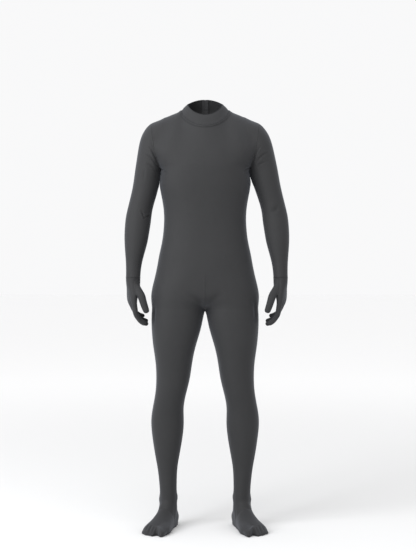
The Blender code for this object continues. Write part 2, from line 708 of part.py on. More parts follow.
def finger_line(number, steps=60):
    """The middle of one finger: distance, distal, dorsal, bend and radius from the web to the tip."""
    f = {c: FINGERS[c][number] for c in FINGERS}
    length = f["first"] + f["second"] + f["third"]
    s = np.linspace(0, length, steps)
    joints = table(
        "at bend",
        (0, f["bend_1"]),
        (f["first"] - 0.009, f["bend_1"]),
        (f["first"] + 0.009, f["bend_2"]),
        (f["first"] + f["second"] - 0.007, f["bend_2"]),
        (f["first"] + f["second"] + 0.007, f["bend_3"]),
        (length, f["bend_3"]),
    )
    bend = np.radians(profile(joints, "bend", s, "at"))
    step = length / (steps - 1)
    distal = PALM - f["base"] + np.concatenate([[0], np.cumsum(np.cos(bend)[:-1] * step)])
    dorsal = 0.004 - np.concatenate([[0], np.cumsum(np.sin(bend)[:-1] * step)])
    radius = f["radius"] * (1.03 - 0.17 * s / length)
    keep = s >= f["base"]
    return {"s": s[keep], "distal": distal[keep], "dorsal": dorsal[keep], "bend": bend[keep], "radius": radius[keep]}


def finger_ring(number, place, angles, up, tip_angle=None):
    """Half a ring at a place from web to tip, or a row of the rounded end at a tip angle."""
    line = finger_line(number)
    s = line["s"][0] + place * (line["s"][-1] - line["s"][0])
    at = {c: np.interp(s, line["s"], line[c]) for c in ("distal", "dorsal", "bend", "radius")}
    ahead = (cos(at["bend"]), -sin(at["bend"]))
    rise = (sin(at["bend"]), cos(at["bend"]))
    lift, forward = (1.0, 0.0) if tip_angle is None else (sin(tip_angle), cos(tip_angle))
    points = []
    for angle in angles:
        side = -cos(angle) * at["radius"]
        out = sin(angle) * at["radius"]
        distal = at["distal"] + out * (up * lift * rise[0] + forward * ahead[0])
        dorsal = at["dorsal"] + out * (up * lift * rise[1] + forward * ahead[1])
        points.append(hand_point(distal, FINGERS["across"][number] + side, dorsal))
    return np.array(points)


def hand_panel(up, per_finger, palm_rows, finger_rows, tip_rows):
    """The back of the hand, or the palm with up at -1: palm rows, then one grid for each finger."""
    columns = 4 * per_finger
    angles = np.linspace(0, pi, per_finger + 1)
    starts = [finger_ring(i, 0.0, angles, up) for i in range(4)]
    web = np.zeros((columns + 1, 3))
    for i, ring in enumerate(starts):
        web[i * per_finger + 1 : (i + 1) * per_finger] = ring[1:-1]
    web[0], web[-1] = starts[0][0], starts[3][-1]
    for i in range(3):
        web[(i + 1) * per_finger] = (starts[i][-1] + starts[i + 1][0]) / 2
    axes = hand_axes()
    wrist = hand_point(0, 0, 0)
    turn = np.linspace(0, pi, columns + 1)
    rays = -np.cos(turn)[:, None] * axes[1] + up * np.sin(turn)[:, None] * axes[2]
    ring = hit(wrist, rays, arm_field, 0.1)
    spread = (web - wrist) @ axes[1]
    middle = (spread[0] + spread[-1]) / 2
    spread = (spread - middle) / (spread[-1] - middle)
    rows = []
    for t in palm_rows:
        distal = t * PALM
        size = {c: float(profile(PALM_SECTIONS, c, distal, "distal")) for c in PALM_SECTIONS}
        place = -np.cos(turn) + (spread + np.cos(turn)) * ease(t)
        across = middle * ease(t) + place * size["half_width"]
        thick = size["half_thick"] + palm_swell(t, across, up)
        rise = thick * np.maximum(1 - np.abs(place) ** 2.4, 0) ** (1 / 2.4)
        section = np.array([hand_point(distal, a, size["lift"] + up * r) for a, r in zip(across, rise)])
        section = ring + axes[0] * distal + (section - ring - axes[0] * distal) * ease(t / 0.45)
        rows.append(section + (web - section) * ease((t - 0.72) / 0.28))
    rows[-1] = web
    fingers = []
    for i in range(4):
        grid = [web[i * per_finger : (i + 1) * per_finger + 1]]
        grid += [finger_ring(i, place, angles, up) for place in finger_rows[1:]]
        grid += [finger_ring(i, 1.0, angles, up, pi / 2 * (1 - k / tip_rows)) for k in range(1, tip_rows + 1)]
        fingers.append(np.array(grid))
    return np.array(rows), fingers


def palm_swell(t, across, up):
    """The ball of the thumb on the palm side."""
    if up > 0:
        return 0
    return 0.006 * np.exp(-(((t - 0.42) / 0.26) ** 2) - ((across + 0.020) / 0.016) ** 2)


def thumb_rings(loop, rows):
    """Rings from the loop on the palm to the thumb's end."""
    path = smooth_path(THUMB, "x y z radius", rows * 4 + 1)
    base = loop.mean(axis=0)
    count = len(loop)
    rings = [loop]
    first = unit(path[4, :3] - base)
    side = unit(np.cross(first, [0.0, 1.0, 0.0]))
    other = np.cross(first, side)
    angle = np.unwrap(np.arctan2((loop - base) @ other, (loop - base) @ side))
    way = np.sign(angle[-1] - angle[0])
    even = angle[0] + way * np.arange(count) * 2 * pi / count
    even += (angle - even).mean()
    for k in range(1, rows + 1):
        here, before = path[4 * k], path[4 * k - 1]
        ahead = unit(unit(here[:3] - before[:3]) + first * (1 - ease(k / 3)))
        side = unit(np.cross(ahead, [0.0, 1.0, 0.0]))
        other = np.cross(ahead, side)
        turn = angle + (even - angle) * ease(k / 2)
        ring = here[:3] + here[3] * (np.cos(turn)[:, None] * side + np.sin(turn)[:, None] * other)
        rings.append(ring)
    end, radius = path[-1, :3], path[-1, 3]
    halfway = pi / 4  # of the thumb's round end
    rings.append(end + ahead * radius * sin(halfway) + (rings[rows] - end) * cos(halfway))
    return rings, end + ahead * radius


# Pieces: a list of points and of faces for each


class Piece:
    """Points and faces of the outer side of one piece of cloth."""

    def __init__(self):
        self.points, self.faces, self.places = [], [], {}

    def point(self, p):
        key = tuple(np.round(p, 6))
        if key not in self.places:
            self.places[key] = len(self.points)
            self.points.append(np.array(p, float))
        return self.places[key]

    def face(self, corners):
        ring = [self.point(p) for p in corners]
        ring = [a for a, b in zip(ring, ring[1:] + ring[:1]) if a != b]
        if len(set(ring)) > 2:
            self.faces.append(ring)
        return self

    def grid(self, rows, skip=None, closed=False):
        rows = np.asarray(rows)
        wide = rows.shape[1]
        for i in range(len(rows) - 1):
            for j in range(wide if closed else wide - 1):
                k = (j + 1) % wide
                if skip is None or not skip(i, j):
                    self.face([rows[i, j], rows[i, k], rows[i + 1, k], rows[i + 1, j]])
        return self

    def outward(self, way=None):
        """Turns the faces round if they look inwards, or away from the given way."""
        middle = np.mean(self.points, axis=0)
        total = 0
        for face in self.faces:
            corners = np.array([self.points[i] for i in face])
            away = corners.mean(axis=0) - middle if way is None else np.array(way)
            total += face_normal(corners) @ away
        if total < 0:
            self.faces = [turned(face) for face in self.faces]
        return self

    def shifted(self, offset):
        moved = Piece()
        for face in self.faces:
            moved.face([self.points[i] + offset for i in face])
        return moved

    def mirrored(self):
        other = Piece()
        for face in self.mirrored_faces():
            other.face(face)
        return other

    def with_mirror(self):
        for face in self.mirrored_faces():
            self.face(face)
        return self

    def mirrored_faces(self):
        return [[self.points[i] * [-1, 1, 1] for i in turned(face)] for face in self.faces]


def turned(face):
    """The face the other way round, from the same corner, so that it splits along the same diagonal."""
    return [face[0], *reversed(face[1:])]


def face_normal(points):
    centre = points.mean(axis=0)
    after = np.roll(points, -1, axis=0)
    return np.cross(points - centre, after - centre).sum(axis=0)


def place_key(point):
    """Names a place for its normal. The two lips of the short front seam count as one place."""
    return tuple(np.round(point, 4) + 0.0)


def piece_normals(piece):
    own = {}
    for face in piece.faces:
        normal = face_normal(np.array([piece.points[i] for i in face]))
        for i in face:
            key = place_key(piece.points[i])
            own[key] = own.get(key, 0) + normal
    return own


def shared_normals(pieces):
    """Each point's outward direction, halfway between those of the pieces that meet there.

    The pieces join in order, so a sleeve counts as much as the front and back together.
    """
    totals = {}
    for piece in pieces:
        for key, normal in piece_normals(piece).items():
            normal = unit(normal)
            totals[key] = unit(totals[key] + normal) if key in totals else normal
    return totals


def drawn_back(piece, distance):
    """The piece's points with its edges moved in by the given distance, and those edges."""
    counts = {}
    for face in piece.faces:
        for a, b in zip(face, face[1:] + face[:1]):
            counts.setdefault(frozenset((a, b)), []).append((a, b, face))
    inward, edges = {}, []
    for uses in counts.values():
        if len(uses) > 1:
            continue
        a, b, face = uses[0]
        edges.append((a, b))
        middle = np.mean([piece.points[i] for i in face], axis=0)
        run = unit(piece.points[b] - piece.points[a])
        into = middle - (piece.points[a] + piece.points[b]) / 2
        into = unit(into - (into @ run) * run)
        for i in (a, b):
            inward.setdefault(i, []).append(into)
    points = np.array(piece.points)
    for i, ways in inward.items():
        total = np.sum(ways, axis=0)
        if len(ways) == 2:
            total = total / max(1 + ways[0] @ ways[1], 0.35)
        points[i] = points[i] + total * distance
    return points, edges


def front_piece(half):
    """Both halves of the front, parted along the short seam from its top to the fork."""
    left = half.copy()
    slit = (left[:, -1, 2] < DART_TOP) & (np.abs(left[:, -1, 0]) < 1e-6)
    left[slit, -1, 0] = 1e-5
    return Piece().grid(left).outward(FORWARD).with_mirror()


def zip_edge(grid):
    """A copy of a left grid whose last column stands back from the zip's chain."""
    grid = grid.copy()
    last, before = grid[:, -1], grid[:, -2]
    part = ZIP_HALF / np.maximum(before[:, 0], ZIP_HALF)
    along = (last[:, 2] > ZIP_BOTTOM - 1e-6)[:, None]
    grid[:, -1] = np.where(along, last + (before - last) * part[:, None], last)
    return grid


def collar_grid(columns, rows):
    """The left half of the collar: rows from the rim down, columns from the front to the back."""
    quarter = np.linspace(0, pi / 2, columns + 1)
    base = np.concatenate([neckline(-quarter)[::-1], neckline(quarter)[1:]])
    rim = np.concatenate([collar_rim(-quarter)[::-1], collar_rim(quarter)[1:]])
    out = unit((base - [0, SHOULDER_Y, 0]) * [1, 1, 0])
    grid = []
    for t in np.linspace(0, 1, rows + 1):
        grid.append(rim + (base - rim) * t + out * COLLAR_SWELL * 4 * t * (1 - t))
    return np.array(grid)


def zip_strip(collar, back, half, end, totals):
    """A strip along the centre back, and its outward directions: those of the cloth beside it."""
    rows = np.concatenate([collar[:, -2:], back[1:, -2:]])
    rows = rows[rows[:, -1, 2] > end - 1e-6]
    before, edge = rows[:, 0], rows[:, 1]
    slope = (before - edge) / (before - edge)[:, :1]
    line = edge - slope * edge[:, :1]
    sides = np.stack([line + slope * half, line], 1)
    strip = Piece().grid(sides).outward(BACKWARD).with_mirror()
    directions = {}
    for near, pair in zip(edge, sides):
        out = unit(totals[place_key(near)] * [0, 1, 1])
        for point in (*pair, pair[0] * [-1, 1, 1]):
            directions[place_key(point)] = out
    return strip, directions


def body_material(name, colour, roughness, metallic=0.0):
    material = bpy.data.materials.new(name)
    material.use_nodes = True
    shader = next(n for n in material.node_tree.nodes if n.type == "BSDF_PRINCIPLED")
    shader.inputs["Base Color"].default_value = (*colour, 1)
    shader.inputs["Roughness"].default_value = roughness
    shader.inputs["Metallic"].default_value = metallic
    material.diffuse_color = (*colour, 1)
    return material


def add_object(name, points, faces, material):
    """A smooth, closed mesh object with its faces turned out."""
    mesh = bpy.data.meshes.new(name)
    mesh.from_pydata([tuple(map(float, p)) for p in points], [], faces)
    work = bmesh.new()
    work.from_mesh(mesh)
    bmesh.ops.recalc_face_normals(work, faces=work.faces)
    work.to_mesh(mesh)
    work.free()
    mesh.shade_smooth()
    mesh.set_sharp_from_angle(angle=radians(50))
    mesh.materials.append(material)
    obj = bpy.data.objects.new(name, mesh)
    bpy.context.scene.collection.objects.link(obj)
    return obj


def cloth(name, piece, totals, material, wall=WALL, lift=0.0):
    """A closed wall whose outer side is the piece."""
    gap = WIDE_GAPS.get(name.rsplit("_", 1)[0], SEAM_GAP)
    normals = np.array([totals[place_key(p)] for p in piece.points])
    points, edges = drawn_back(piece, gap / 2)
    points = points + normals * lift - np.array([0, 0, HOLD_HEIGHT])
    count = len(points)
    under = points - normals * wall
    faces = [list(f) for f in piece.faces]
    faces += [[i + count for i in turned(f)] for f in piece.faces]
    faces += [[b, a, a + count, b + count] for a, b in edges]
    return add_object(name, [*points, *under], faces, material)


def glove_pieces(per_finger, palm_rows, finger_rows, tip_rows, thumb_rows):
    """The back of the left hand, its palm with the thumb's hole, the thumb, and the webs' places."""
    pieces = []
    hole = thumb_hole(palm_rows)
    wide = THUMB_COLUMNS * per_finger // FINGER_COLUMNS
    for up in (1, -1):
        palm, fingers = hand_panel(up, per_finger, palm_rows, finger_rows, tip_rows)
        piece = Piece()
        if up > 0:
            piece.grid(palm)
        else:
            piece.grid(palm, skip=lambda i, j: hole[0] <= i < hole[1] and j < wide)
        for finger in fingers:
            piece.grid(finger)
        pieces.append(piece.outward(up * hand_axes()[2]))
    down = palm[hole[0] : hole[1] + 1]
    loop = [*down[0, : wide + 1], *down[1:, wide], *down[-1, :wide][::-1], *down[1:-1, 0][::-1]]
    rings, tip = thumb_rings(np.array(loop), thumb_rows)
    thumb = Piece().grid(rings, closed=True)
    for a, b in zip(rings[-1], np.roll(rings[-1], -1, axis=0)):
        thumb.face([a, b, tip])
    return [*pieces, thumb.outward()], palm[-1, per_finger:-1:per_finger]


def web_directions():
    """The way each web between the fingers faces."""
    bend = np.radians((FINGERS["bend_1"][:-1] + FINGERS["bend_1"][1:]) / 2)
    distal, _, dorsal = hand_axes()
    return np.cos(bend)[:, None] * distal - np.sin(bend)[:, None] * dorsal


def thumb_hole(palm_rows):
    """The palm rows nearest the two ends of the thumb's hole."""
    return [int(np.argmin(np.abs(np.array(palm_rows) - end))) for end in THUMB_HOLE]


def zip_frame(collar):
    """The place and the three directions of the slider on the collar's top strip at the back."""
    rim, below = collar[0, -1], collar[1, -1]
    down = unit(below - rim)
    across = np.array([1.0, 0.0, 0.0])
    out = np.cross(down, across)
    out = out if out[1] > 0 else -out
    return (rim + below) / 2 - np.array([0, 0, HOLD_HEIGHT]), across, down, out


def box_points(centre, sizes, frame):
    corners = [(a, b, c) for a in (-0.5, 0.5) for b in (-0.5, 0.5) for c in (-0.5, 0.5)]
    place, *axes = frame
    return [
        place + sum(axis * (c + k * size) for axis, c, k, size in zip(axes, centre, corner, sizes))
        for corner in corners
    ]


BOX_FACES = [[0, 1, 3, 2], [4, 6, 7, 5], [0, 4, 5, 1], [2, 3, 7, 6], [0, 2, 6, 4], [1, 5, 7, 3]]


def rod(centre, radius, length, frame, count=16):
    """A round bar across the slider."""
    place, across, down, out = frame
    middle = place + sum(axis * c for axis, c in zip((across, down, out), centre))
    turn = np.arange(count) * 2 * pi / count
    ring = middle + radius * (np.cos(turn)[:, None] * down + np.sin(turn)[:, None] * out)
    points = [*(ring - across * length / 2), *(ring + across * length / 2)]
    faces = [[i, (i + 1) % count, (i + 1) % count + count, i + count] for i in range(count)]
    return points, faces + [list(range(count))[::-1], list(range(count, 2 * count))]


def joined_to(target, name, points, faces, material):
    """Joins a solid to the target with a Boolean."""
    helper = add_object(name, points, faces, material)
    helper.hide_render = True
    helper.display_type = "WIRE"
    union = target.modifiers.new(name, "BOOLEAN")
    union.operation = "UNION"
    union.solver = "EXACT"
    union.object = helper


def slider(frame, material):
    wide, thick, long = SLIDER
    base = SLIDER_LIFT + thick / 2
    plate = box_points((0, 0, base), (wide, long, thick), frame)
    obj = add_object("zip_slider", plate, BOX_FACES, material)
    cheek = (wide - PULL[0] - 2 * PULL_CLEARANCE) / 2
    rise = PIN_RISE + PIN_RADIUS + CHEEK_TOP
    for side in (-1, 1):
        centre = (side * (wide - cheek) / 2, PIN_PLACE, SLIDER_LIFT + thick + rise / 2 - CHEEK_SINK)
        points = box_points(centre, (cheek - 2 * CHEEK_INSET, CHEEK_LENGTH, rise), frame)
        joined_to(obj, f"cheek_{side}", points, BOX_FACES, material)
    centre = (0, PIN_PLACE, SLIDER_LIFT + thick + PIN_RISE)
    joined_to(obj, "pin", *rod(centre, PIN_RADIUS, wide - cheek, frame), material)
    return obj


def pull(frame, material):
    """The tab and its eye, one outline drawn across the whole width. Its origin is the pin's middle."""
    place, across, down, out = frame
    wide, _, long = PULL
    count = 12
    turn = (np.arange(count) + 0.5) * 2 * pi / count
    tilt = radians(PULL_TILT)
    ahead = down * cos(tilt) - out * sin(tilt)
    side = out * cos(tilt) + down * sin(tilt)
    eye = [
        radius * (np.cos(turn)[:, None] * ahead + np.sin(turn)[:, None] * side) for radius in EYE_RADII
    ]
    tail = [eye[1][count - 1] + ahead * (long - EYE_RADII[1]), eye[1][0] + ahead * (long - EYE_RADII[1])]
    outline = [*eye[0], *eye[1], *tail]
    size = len(outline)
    points = [p - across * wide / 2 for p in outline] + [p + across * wide / 2 for p in outline]
    first, second = 2 * count, 2 * count + 1
    flat = [[i, (i + 1) % count, (i + 1) % count + count, i + count] for i in range(count)]
    flat.append([count, 2 * count - 1, first, second])
    faces = flat + [[i + size for i in reversed(f)] for f in flat]
    walls = [(i, (i + 1) % count) for i in range(count)]
    walls += [(i + count, i + 1 + count) for i in range(count - 1)]
    walls += [(2 * count - 1, first), (first, second), (second, count)]
    faces += [[a, b, b + size, a + size] for a, b in walls]
    obj = add_object("zip_pull", points, faces, material)
    middle = place + down * PIN_PLACE + out * (SLIDER_LIFT + SLIDER[1] + PIN_RISE)
    obj.location = Vector(middle)
    return obj


def main():
    for obj in list(bpy.data.objects):
        bpy.data.objects.remove(obj, do_unlink=True)
    knit = body_material("knit", (0.066, 0.066, 0.068), 0.78)
    tape_knit = body_material("tape", (0.040, 0.040, 0.042), 0.85)
    coil = body_material("coil", (0.030, 0.030, 0.031), 0.45)
    metal = body_material("metal", (0.10, 0.10, 0.105), 0.35, 1.0)

    halves = half_panels(COLUMNS, YOKE_ROWS)
    back_half = zip_edge(halves["back"])
    collar_half = collar_grid(COLUMNS - SHOULDER_COLUMNS, COLLAR_ROWS)
    pieces = {"front": front_piece(halves["front"])}
    pieces["back_left"] = Piece().grid(back_half).outward(BACKWARD)
    pieces["back_right"] = pieces["back_left"].mirrored()
    pieces["collar"] = Piece().grid(zip_edge(collar_half)).outward().with_mirror()
    loops = sole_loops(halves["front"], halves["back"])
    sole = Piece().grid(loops, closed=True).face(loops[-1]).outward(DOWNWARD)
    pieces["sole_left"], pieces["sole_right"] = sole, sole.mirrored()
    glove, webs = glove_pieces(FINGER_COLUMNS, PALM_ROWS, FINGER_ROWS, TIP_ROWS, THUMB_RINGS)
    for name, lean in (("left", ARM_LEAN), ("right", -ARM_LEAN)):
        sleeve = Piece().grid(sleeve_grid(2 * YOKE_ROWS, lean), closed=True).outward()
        pieces[f"sleeve_{name}"] = sleeve if name == "left" else sleeve.mirrored()
        for part, piece in zip(("back", "palm", "thumb"), glove):
            moved = piece.shifted(np.array([lean, 0, 0]))
            pieces[f"glove_{part}_{name}"] = moved if name == "left" else moved.mirrored()
    totals = shared_normals([piece for name, piece in pieces.items() if "thumb" not in name])
    totals[place_key(FORK)] = np.array(DOWNWARD, float)
    for side in (-1, 1):
        for place, way in zip(webs, web_directions()):
            totals[place_key((place + [side * ARM_LEAN, 0, 0]) * [side, 1, 1])] = way * [side, 1, 1]
    for name, piece in pieces.items():
        directions = shared_normals([piece]) if "thumb" in name else totals
        cloth(name, piece, directions, knit, GLOVE_WALL if "glove" in name else WALL)

    edges = zip_edge(collar_half), back_half
    tape = zip_strip(*edges, TAPE_HALF, ZIP_BOTTOM, totals)
    chain = zip_strip(*edges, CHAIN_WIDTH / 2, ZIP_BOTTOM, totals)
    cloth("zip_tape", *tape, tape_knit, TAPE_WALL, -WALL - ZIP_GAP)
    cloth("zip_chain", *chain, coil, CHAIN_WALL, CHAIN_WALL - WALL - ZIP_GAP / 4)
    frame = zip_frame(collar_half)
    slider(frame, metal)
    pull(frame, metal)


main()
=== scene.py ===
"""The looks of the full body suit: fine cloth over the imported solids, its seams, zip and light.

Metres, +Z up, the front towards -Y, +X the suit's left, the origin at the shoulders' height.
"""

from math import atan, cos, pi, radians, sin

import bmesh
import bpy
import numpy as np
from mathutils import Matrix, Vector
from mathutils.bvhtree import BVHTree
from mathutils.kdtree import KDTree


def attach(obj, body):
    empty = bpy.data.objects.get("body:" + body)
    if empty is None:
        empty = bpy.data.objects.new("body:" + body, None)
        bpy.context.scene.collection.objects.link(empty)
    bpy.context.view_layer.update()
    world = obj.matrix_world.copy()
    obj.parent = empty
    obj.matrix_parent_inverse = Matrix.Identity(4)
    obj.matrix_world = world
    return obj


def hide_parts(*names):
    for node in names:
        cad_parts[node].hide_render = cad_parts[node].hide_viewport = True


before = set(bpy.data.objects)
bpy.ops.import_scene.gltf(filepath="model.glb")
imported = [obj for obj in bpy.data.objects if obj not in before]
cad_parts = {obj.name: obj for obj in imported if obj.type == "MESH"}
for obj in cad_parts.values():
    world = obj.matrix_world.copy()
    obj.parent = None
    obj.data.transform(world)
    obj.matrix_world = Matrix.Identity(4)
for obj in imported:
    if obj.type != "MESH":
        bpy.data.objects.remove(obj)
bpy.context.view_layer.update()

BODY = "suit"
HOLD_HEIGHT = 1.500  # the soles to the origin
FLOOR_LEVEL = -HOLD_HEIGHT

# The solids' walls and the visible cloth
WALL = 0.0014
GLOVE_WALL = 0.0010
SAME = 2e-5  # lengths and places closer than this are equal
SHELL = 0.0009  # the visible cloth's thickness
GLOVE_SHELL = 0.0007
INNER_LOWEST = FLOOR_LEVEL + 0.0003  # the cloth's inner side stays above the floor
WELD = 0.0021  # edges of two pieces nearer than this are one seam
LEVELS = 2
ROUNDS = 3  # towards a smooth surface through the solids' own points
ROUND_SHARE = 0.9  # of each miss that a round takes away
LEAST_PULL = 0.01  # two neighbours that are both pulled less than this are left alone
FEET_TOP = 0.200 - HOLD_HEIGHT
WRIST = 0.930 - HOLD_HEIGHT
HAND_SIDE = 0.200  # the hands lie further out than this
DART_TOP = 0.935 - HOLD_HEIGHT  # the centre seam of the front, down to the fork
DART_HALF = 4e-4
DART_REAR = 0.011
RAY_START = 0.6  # before or behind the suit
FOOT_RAY = FLOOR_LEVEL + 0.120

# Seams and stitches
SWELL = 0.00045  # the seam allowance under the cloth
SWELL_WIDTH = 0.0050
HAND_SWELL = 0.3  # of that on the hands
SEAM_STEP = 0.0045
RIM_STEP = 0.0040
GLOVE_SEAM_STEP = 0.0025
GLOVE_LINES = 0.55  # size of the gloves' grooves against the other seams
NECK_LINES = 1.3  # size of the collar's two grooves against the other seams
NECK_BAND = 0.0082  # from the collar's seam to the line of stitches outside it
NECK_LIFT = 0.0004  # the seam's bar out of the corner under the collar
NECK_PAINTED_SHADE = (0.0021, 0.5)  # width and depth of the painted shade that darkens the cloth along both lines
NECK_RIDGE = 0.0012  # how far the turned cloth between them stands up
RIDGE_SPREAD = 0.3  # of the band
STITCH = (0.00115, 0.00024, 0.00016)  # half its length, width and height
STITCH_STEP = 0.0031
STITCH_SIDE = 0.0024  # each row's distance from its seam
SHORT_SEAM = 8  # a seam of fewer points has no stitches
NORMAL_ROUNDS = 3  # that even out the directions along a seam

# The zip's coil
TOOTH = (0.00042, 0.00135, 0.00060)  # half sizes of one turn
TOOTH_STEP = 0.0015
TOOTH_SHIFT = TOOTH_STEP / 4  # up on one side of the coil and down on the other
TOOTH_SIDE = 0.72  # of its half width, from the middle
TOOTH_FINENESS = 2
BAND_REACH = 0.002  # heights of the plain band's points that are taken together
BLOCK_ANGLE = 60

# The yoke beside the collar, which is evened: its middle sideways and up, and its spread
YOKE_MIDDLE = (0.070, 1.455)
YOKE_SPREAD = (0.045, 0.060)
YOKE_ROUNDS = 160
YOKE_PULL = 0.7
YOKE_LEAST = 0.02  # weights below it are none
YOKE_SEAM = (0.004, 0.012)  # nearer the collar's seam it fades: where it ends and over what
YOKE_EDGE = (0.006, 0.030)  # and so at the zip's edges

# The cloth that comes together under the armpits: the heights where it starts, is full and ends
PRESS_HEIGHTS = (1.250, 1.272, 1.345)
PRESS_SIDES = (0.140, 0.210)
PRESS_REACH = 0.022  # the widest gap between arm and trunk that it narrows
PRESS_FADE = 0.010
PRESS_LEFT = 0.0006  # half the gap that stays

# A crease: a trough between two ridges, with sizes against its own width and depth
CREASE_POINTS = 9  # along its line
CREASE_REACH = 0.12  # from its middle, of the cloth that it can move
CREASE_FADE = 0.12  # of its length at each end
CREASE_ENDS = 0.8  # how bluntly it fades
TROUGH_SPREAD = 0.8
RIDGE_HEIGHT = 0.55
RIDGE_PLACE = 1.9
RIDGE_WIDTH = 0.9
# Painted shade in the crease troughs: darker the deeper they are, up to the darkest.
CREASE_PAINTED_SHADE = 0.004  # the crease depth whose painted shade would be fully dark
DARKEST_CREASE_SHADE = 0.6


def table(columns, *rows):
    """Rows of sizes under named columns."""
    return [dict(zip(columns.split(), row)) for row in rows]


def unit(v):
    """Rows of vectors at length one."""
    return v / np.maximum(np.linalg.norm(v, axis=-1, keepdims=True), 1e-12)


# Flat cuts: widest and longest, the area, and what the cloth's edges are sewn to
CUTS = table(
    "node width length area sewn_to",
    ("front", 0.58, 1.60, 0.56, ("collar", "back_left", "back_right")),
    ("back_left", 0.29, 1.55, 0.27, ("collar", "front", "zip_tape")),
    ("back_right", 0.29, 1.55, 0.27, ("collar", "front", "zip_tape")),
    ("collar", 0.42, 0.07, 0.016, ("front", "back_left", "back_right")),
    ("sleeve_left", 0.36, 0.58, 0.122, ("front", "back_left", "glove_back_left")),
    ("sleeve_right", 0.36, 0.58, 0.122, ("front", "back_right", "glove_back_right")),
    ("glove_back_left", 0.15, 0.20, 0.0160, ("sleeve_left", "glove_palm_left")),
    ("glove_back_right", 0.15, 0.20, 0.0160, ("sleeve_right", "glove_palm_right")),
    ("glove_palm_left", 0.15, 0.20, 0.0145, ("sleeve_left", "glove_back_left")),
    ("glove_palm_right", 0.15, 0.20, 0.0145, ("sleeve_right", "glove_back_right")),
    ("glove_thumb_left", 0.090, 0.110, 0.0065, ("glove_palm_left",)),
    ("glove_thumb_right", 0.090, 0.110, 0.0065, ("glove_palm_right",)),
    ("sole_left", 0.095, 0.250, 0.0180, ("front", "back_left")),
    ("sole_right", 0.095, 0.250, 0.0180, ("front", "back_right")),
)
NODES = [cut["node"] for cut in CUTS]

# Creases: both ends, sideways and up, and how far the middle bows, seen from the front (-1) or the
# back (1)
CREASES = table(
    "side x1 h1 x2 h2 bow width depth",
    (-1, 0.1790, 1.358, 0.2020, 1.404, 0.003, 0.0034, 0.0015),
    (-1, 0.1860, 1.344, 0.2250, 1.380, 0.004, 0.0038, 0.0019),
    (-1, 0.1910, 1.330, 0.2280, 1.350, 0.003, 0.0038, 0.0013),
    (-1, 0.1690, 1.332, 0.1420, 1.308, -0.003, 0.0046, 0.0013),
    (-1, 0.1700, 1.318, 0.1500, 1.300, -0.002, 0.0042, 0.0009),
    (-1, -0.1770, 1.347, -0.2040, 1.402, -0.003, 0.0036, 0.0016),
    (-1, -0.1800, 1.338, -0.2140, 1.372, -0.004, 0.0038, 0.0020),
    (-1, -0.1840, 1.322, -0.2120, 1.340, -0.002, 0.0036, 0.0013),
    (-1, -0.1660, 1.323, -0.1380, 1.303, 0.003, 0.0046, 0.0013),
    (-1, -0.1680, 1.309, -0.1480, 1.292, 0.002, 0.0042, 0.0009),
    (-1, -0.2236, 1.318, -0.2262, 1.282, 0.001, 0.0050, 0.0009),
    (-1, -0.2330, 1.170, -0.2225, 1.142, 0.0, 0.0030, 0.0021),
    (-1, -0.2225, 1.142, -0.1985, 1.155, 0.0, 0.0032, 0.0021),
    (-1, 0.2620, 1.186, 0.2430, 1.168, 0.004, 0.0085, 0.0018),
    (-1, 0.014, 0.832, 0.056, 0.866, 0.005, 0.0120, 0.0012),
    (-1, -0.014, 0.830, -0.052, 0.860, -0.005, 0.0120, 0.0012),
    (-1, 0.1790, 0.836, 0.1830, 0.766, 0.002, 0.0120, 0.0022),
    (-1, -0.1850, 0.814, -0.1860, 0.762, -0.001, 0.0120, 0.0026),
    (1, 0.184, 1.350, 0.206, 1.384, 0.004, 0.0050, 0.0022),
    (1, 0.190, 1.332, 0.218, 1.356, 0.004, 0.0050, 0.0022),
    (1, 0.168, 1.330, 0.138, 1.292, -0.004, 0.0060, 0.0014),
    (1, -0.186, 1.346, -0.204, 1.378, -0.004, 0.0050, 0.0022),
    (1, -0.190, 1.328, -0.216, 1.350, -0.004, 0.0050, 0.0022),
    (1, -0.166, 1.326, -0.138, 1.288, 0.004, 0.0060, 0.0014),
    (1, 0.030, 0.806, 0.150, 0.812, -0.016, 0.0080, 0.0020),
    (1, -0.030, 0.804, -0.148, 0.812, 0.016, 0.0080, 0.0020),
    (1, 0.085, 0.492, 0.172, 0.486, -0.004, 0.0060, 0.0018),
    (1, 0.090, 0.470, 0.168, 0.474, 0.003, 0.0055, 0.0014),
    (1, -0.085, 0.490, -0.170, 0.486, 0.004, 0.0060, 0.0018),
    (1, -0.090, 0.468, -0.168, 0.473, -0.003, 0.0055, 0.0014),
)


# Troughs between the smaller toes, on the top of each foot: places along the foot from the heel and
# across it, outwards
TOES = table(
    "along1 across1 along2 across2 width depth",
    (0.214, 0.0065, 0.246, 0.0068, 0.0032, 0.0016),
    (0.206, 0.0200, 0.238, 0.0208, 0.0032, 0.0014),
    (0.196, 0.0325, 0.224, 0.0340, 0.0030, 0.0012),
)

# The foot's front, which is rounded: below this height and in front of this place, each with the
# length over which it fades
TOE_HEIGHT = (0.034, 0.010)
TOE_BACK = (0.010, 0.030)
TOE_PULL = 0.6
TOE_ROUNDS = 24

# Swells over the ankles and the heels: sideways, back and up, then how wide and how far out
SWELLS = table(
    "x y height width depth",
    (0.1015, 0.046, 0.108, 0.0150, 0.0042),
    (0.1710, 0.040, 0.101, 0.0140, 0.0040),
    (0.1000, 0.068, 0.034, 0.0170, 0.0040),
)
HEEL = np.array([0.1227, 0.0939])  # in plan, of the suit's left foot
FOOT_TURN = radians(14.5)


# The smooth cloth, from the solids


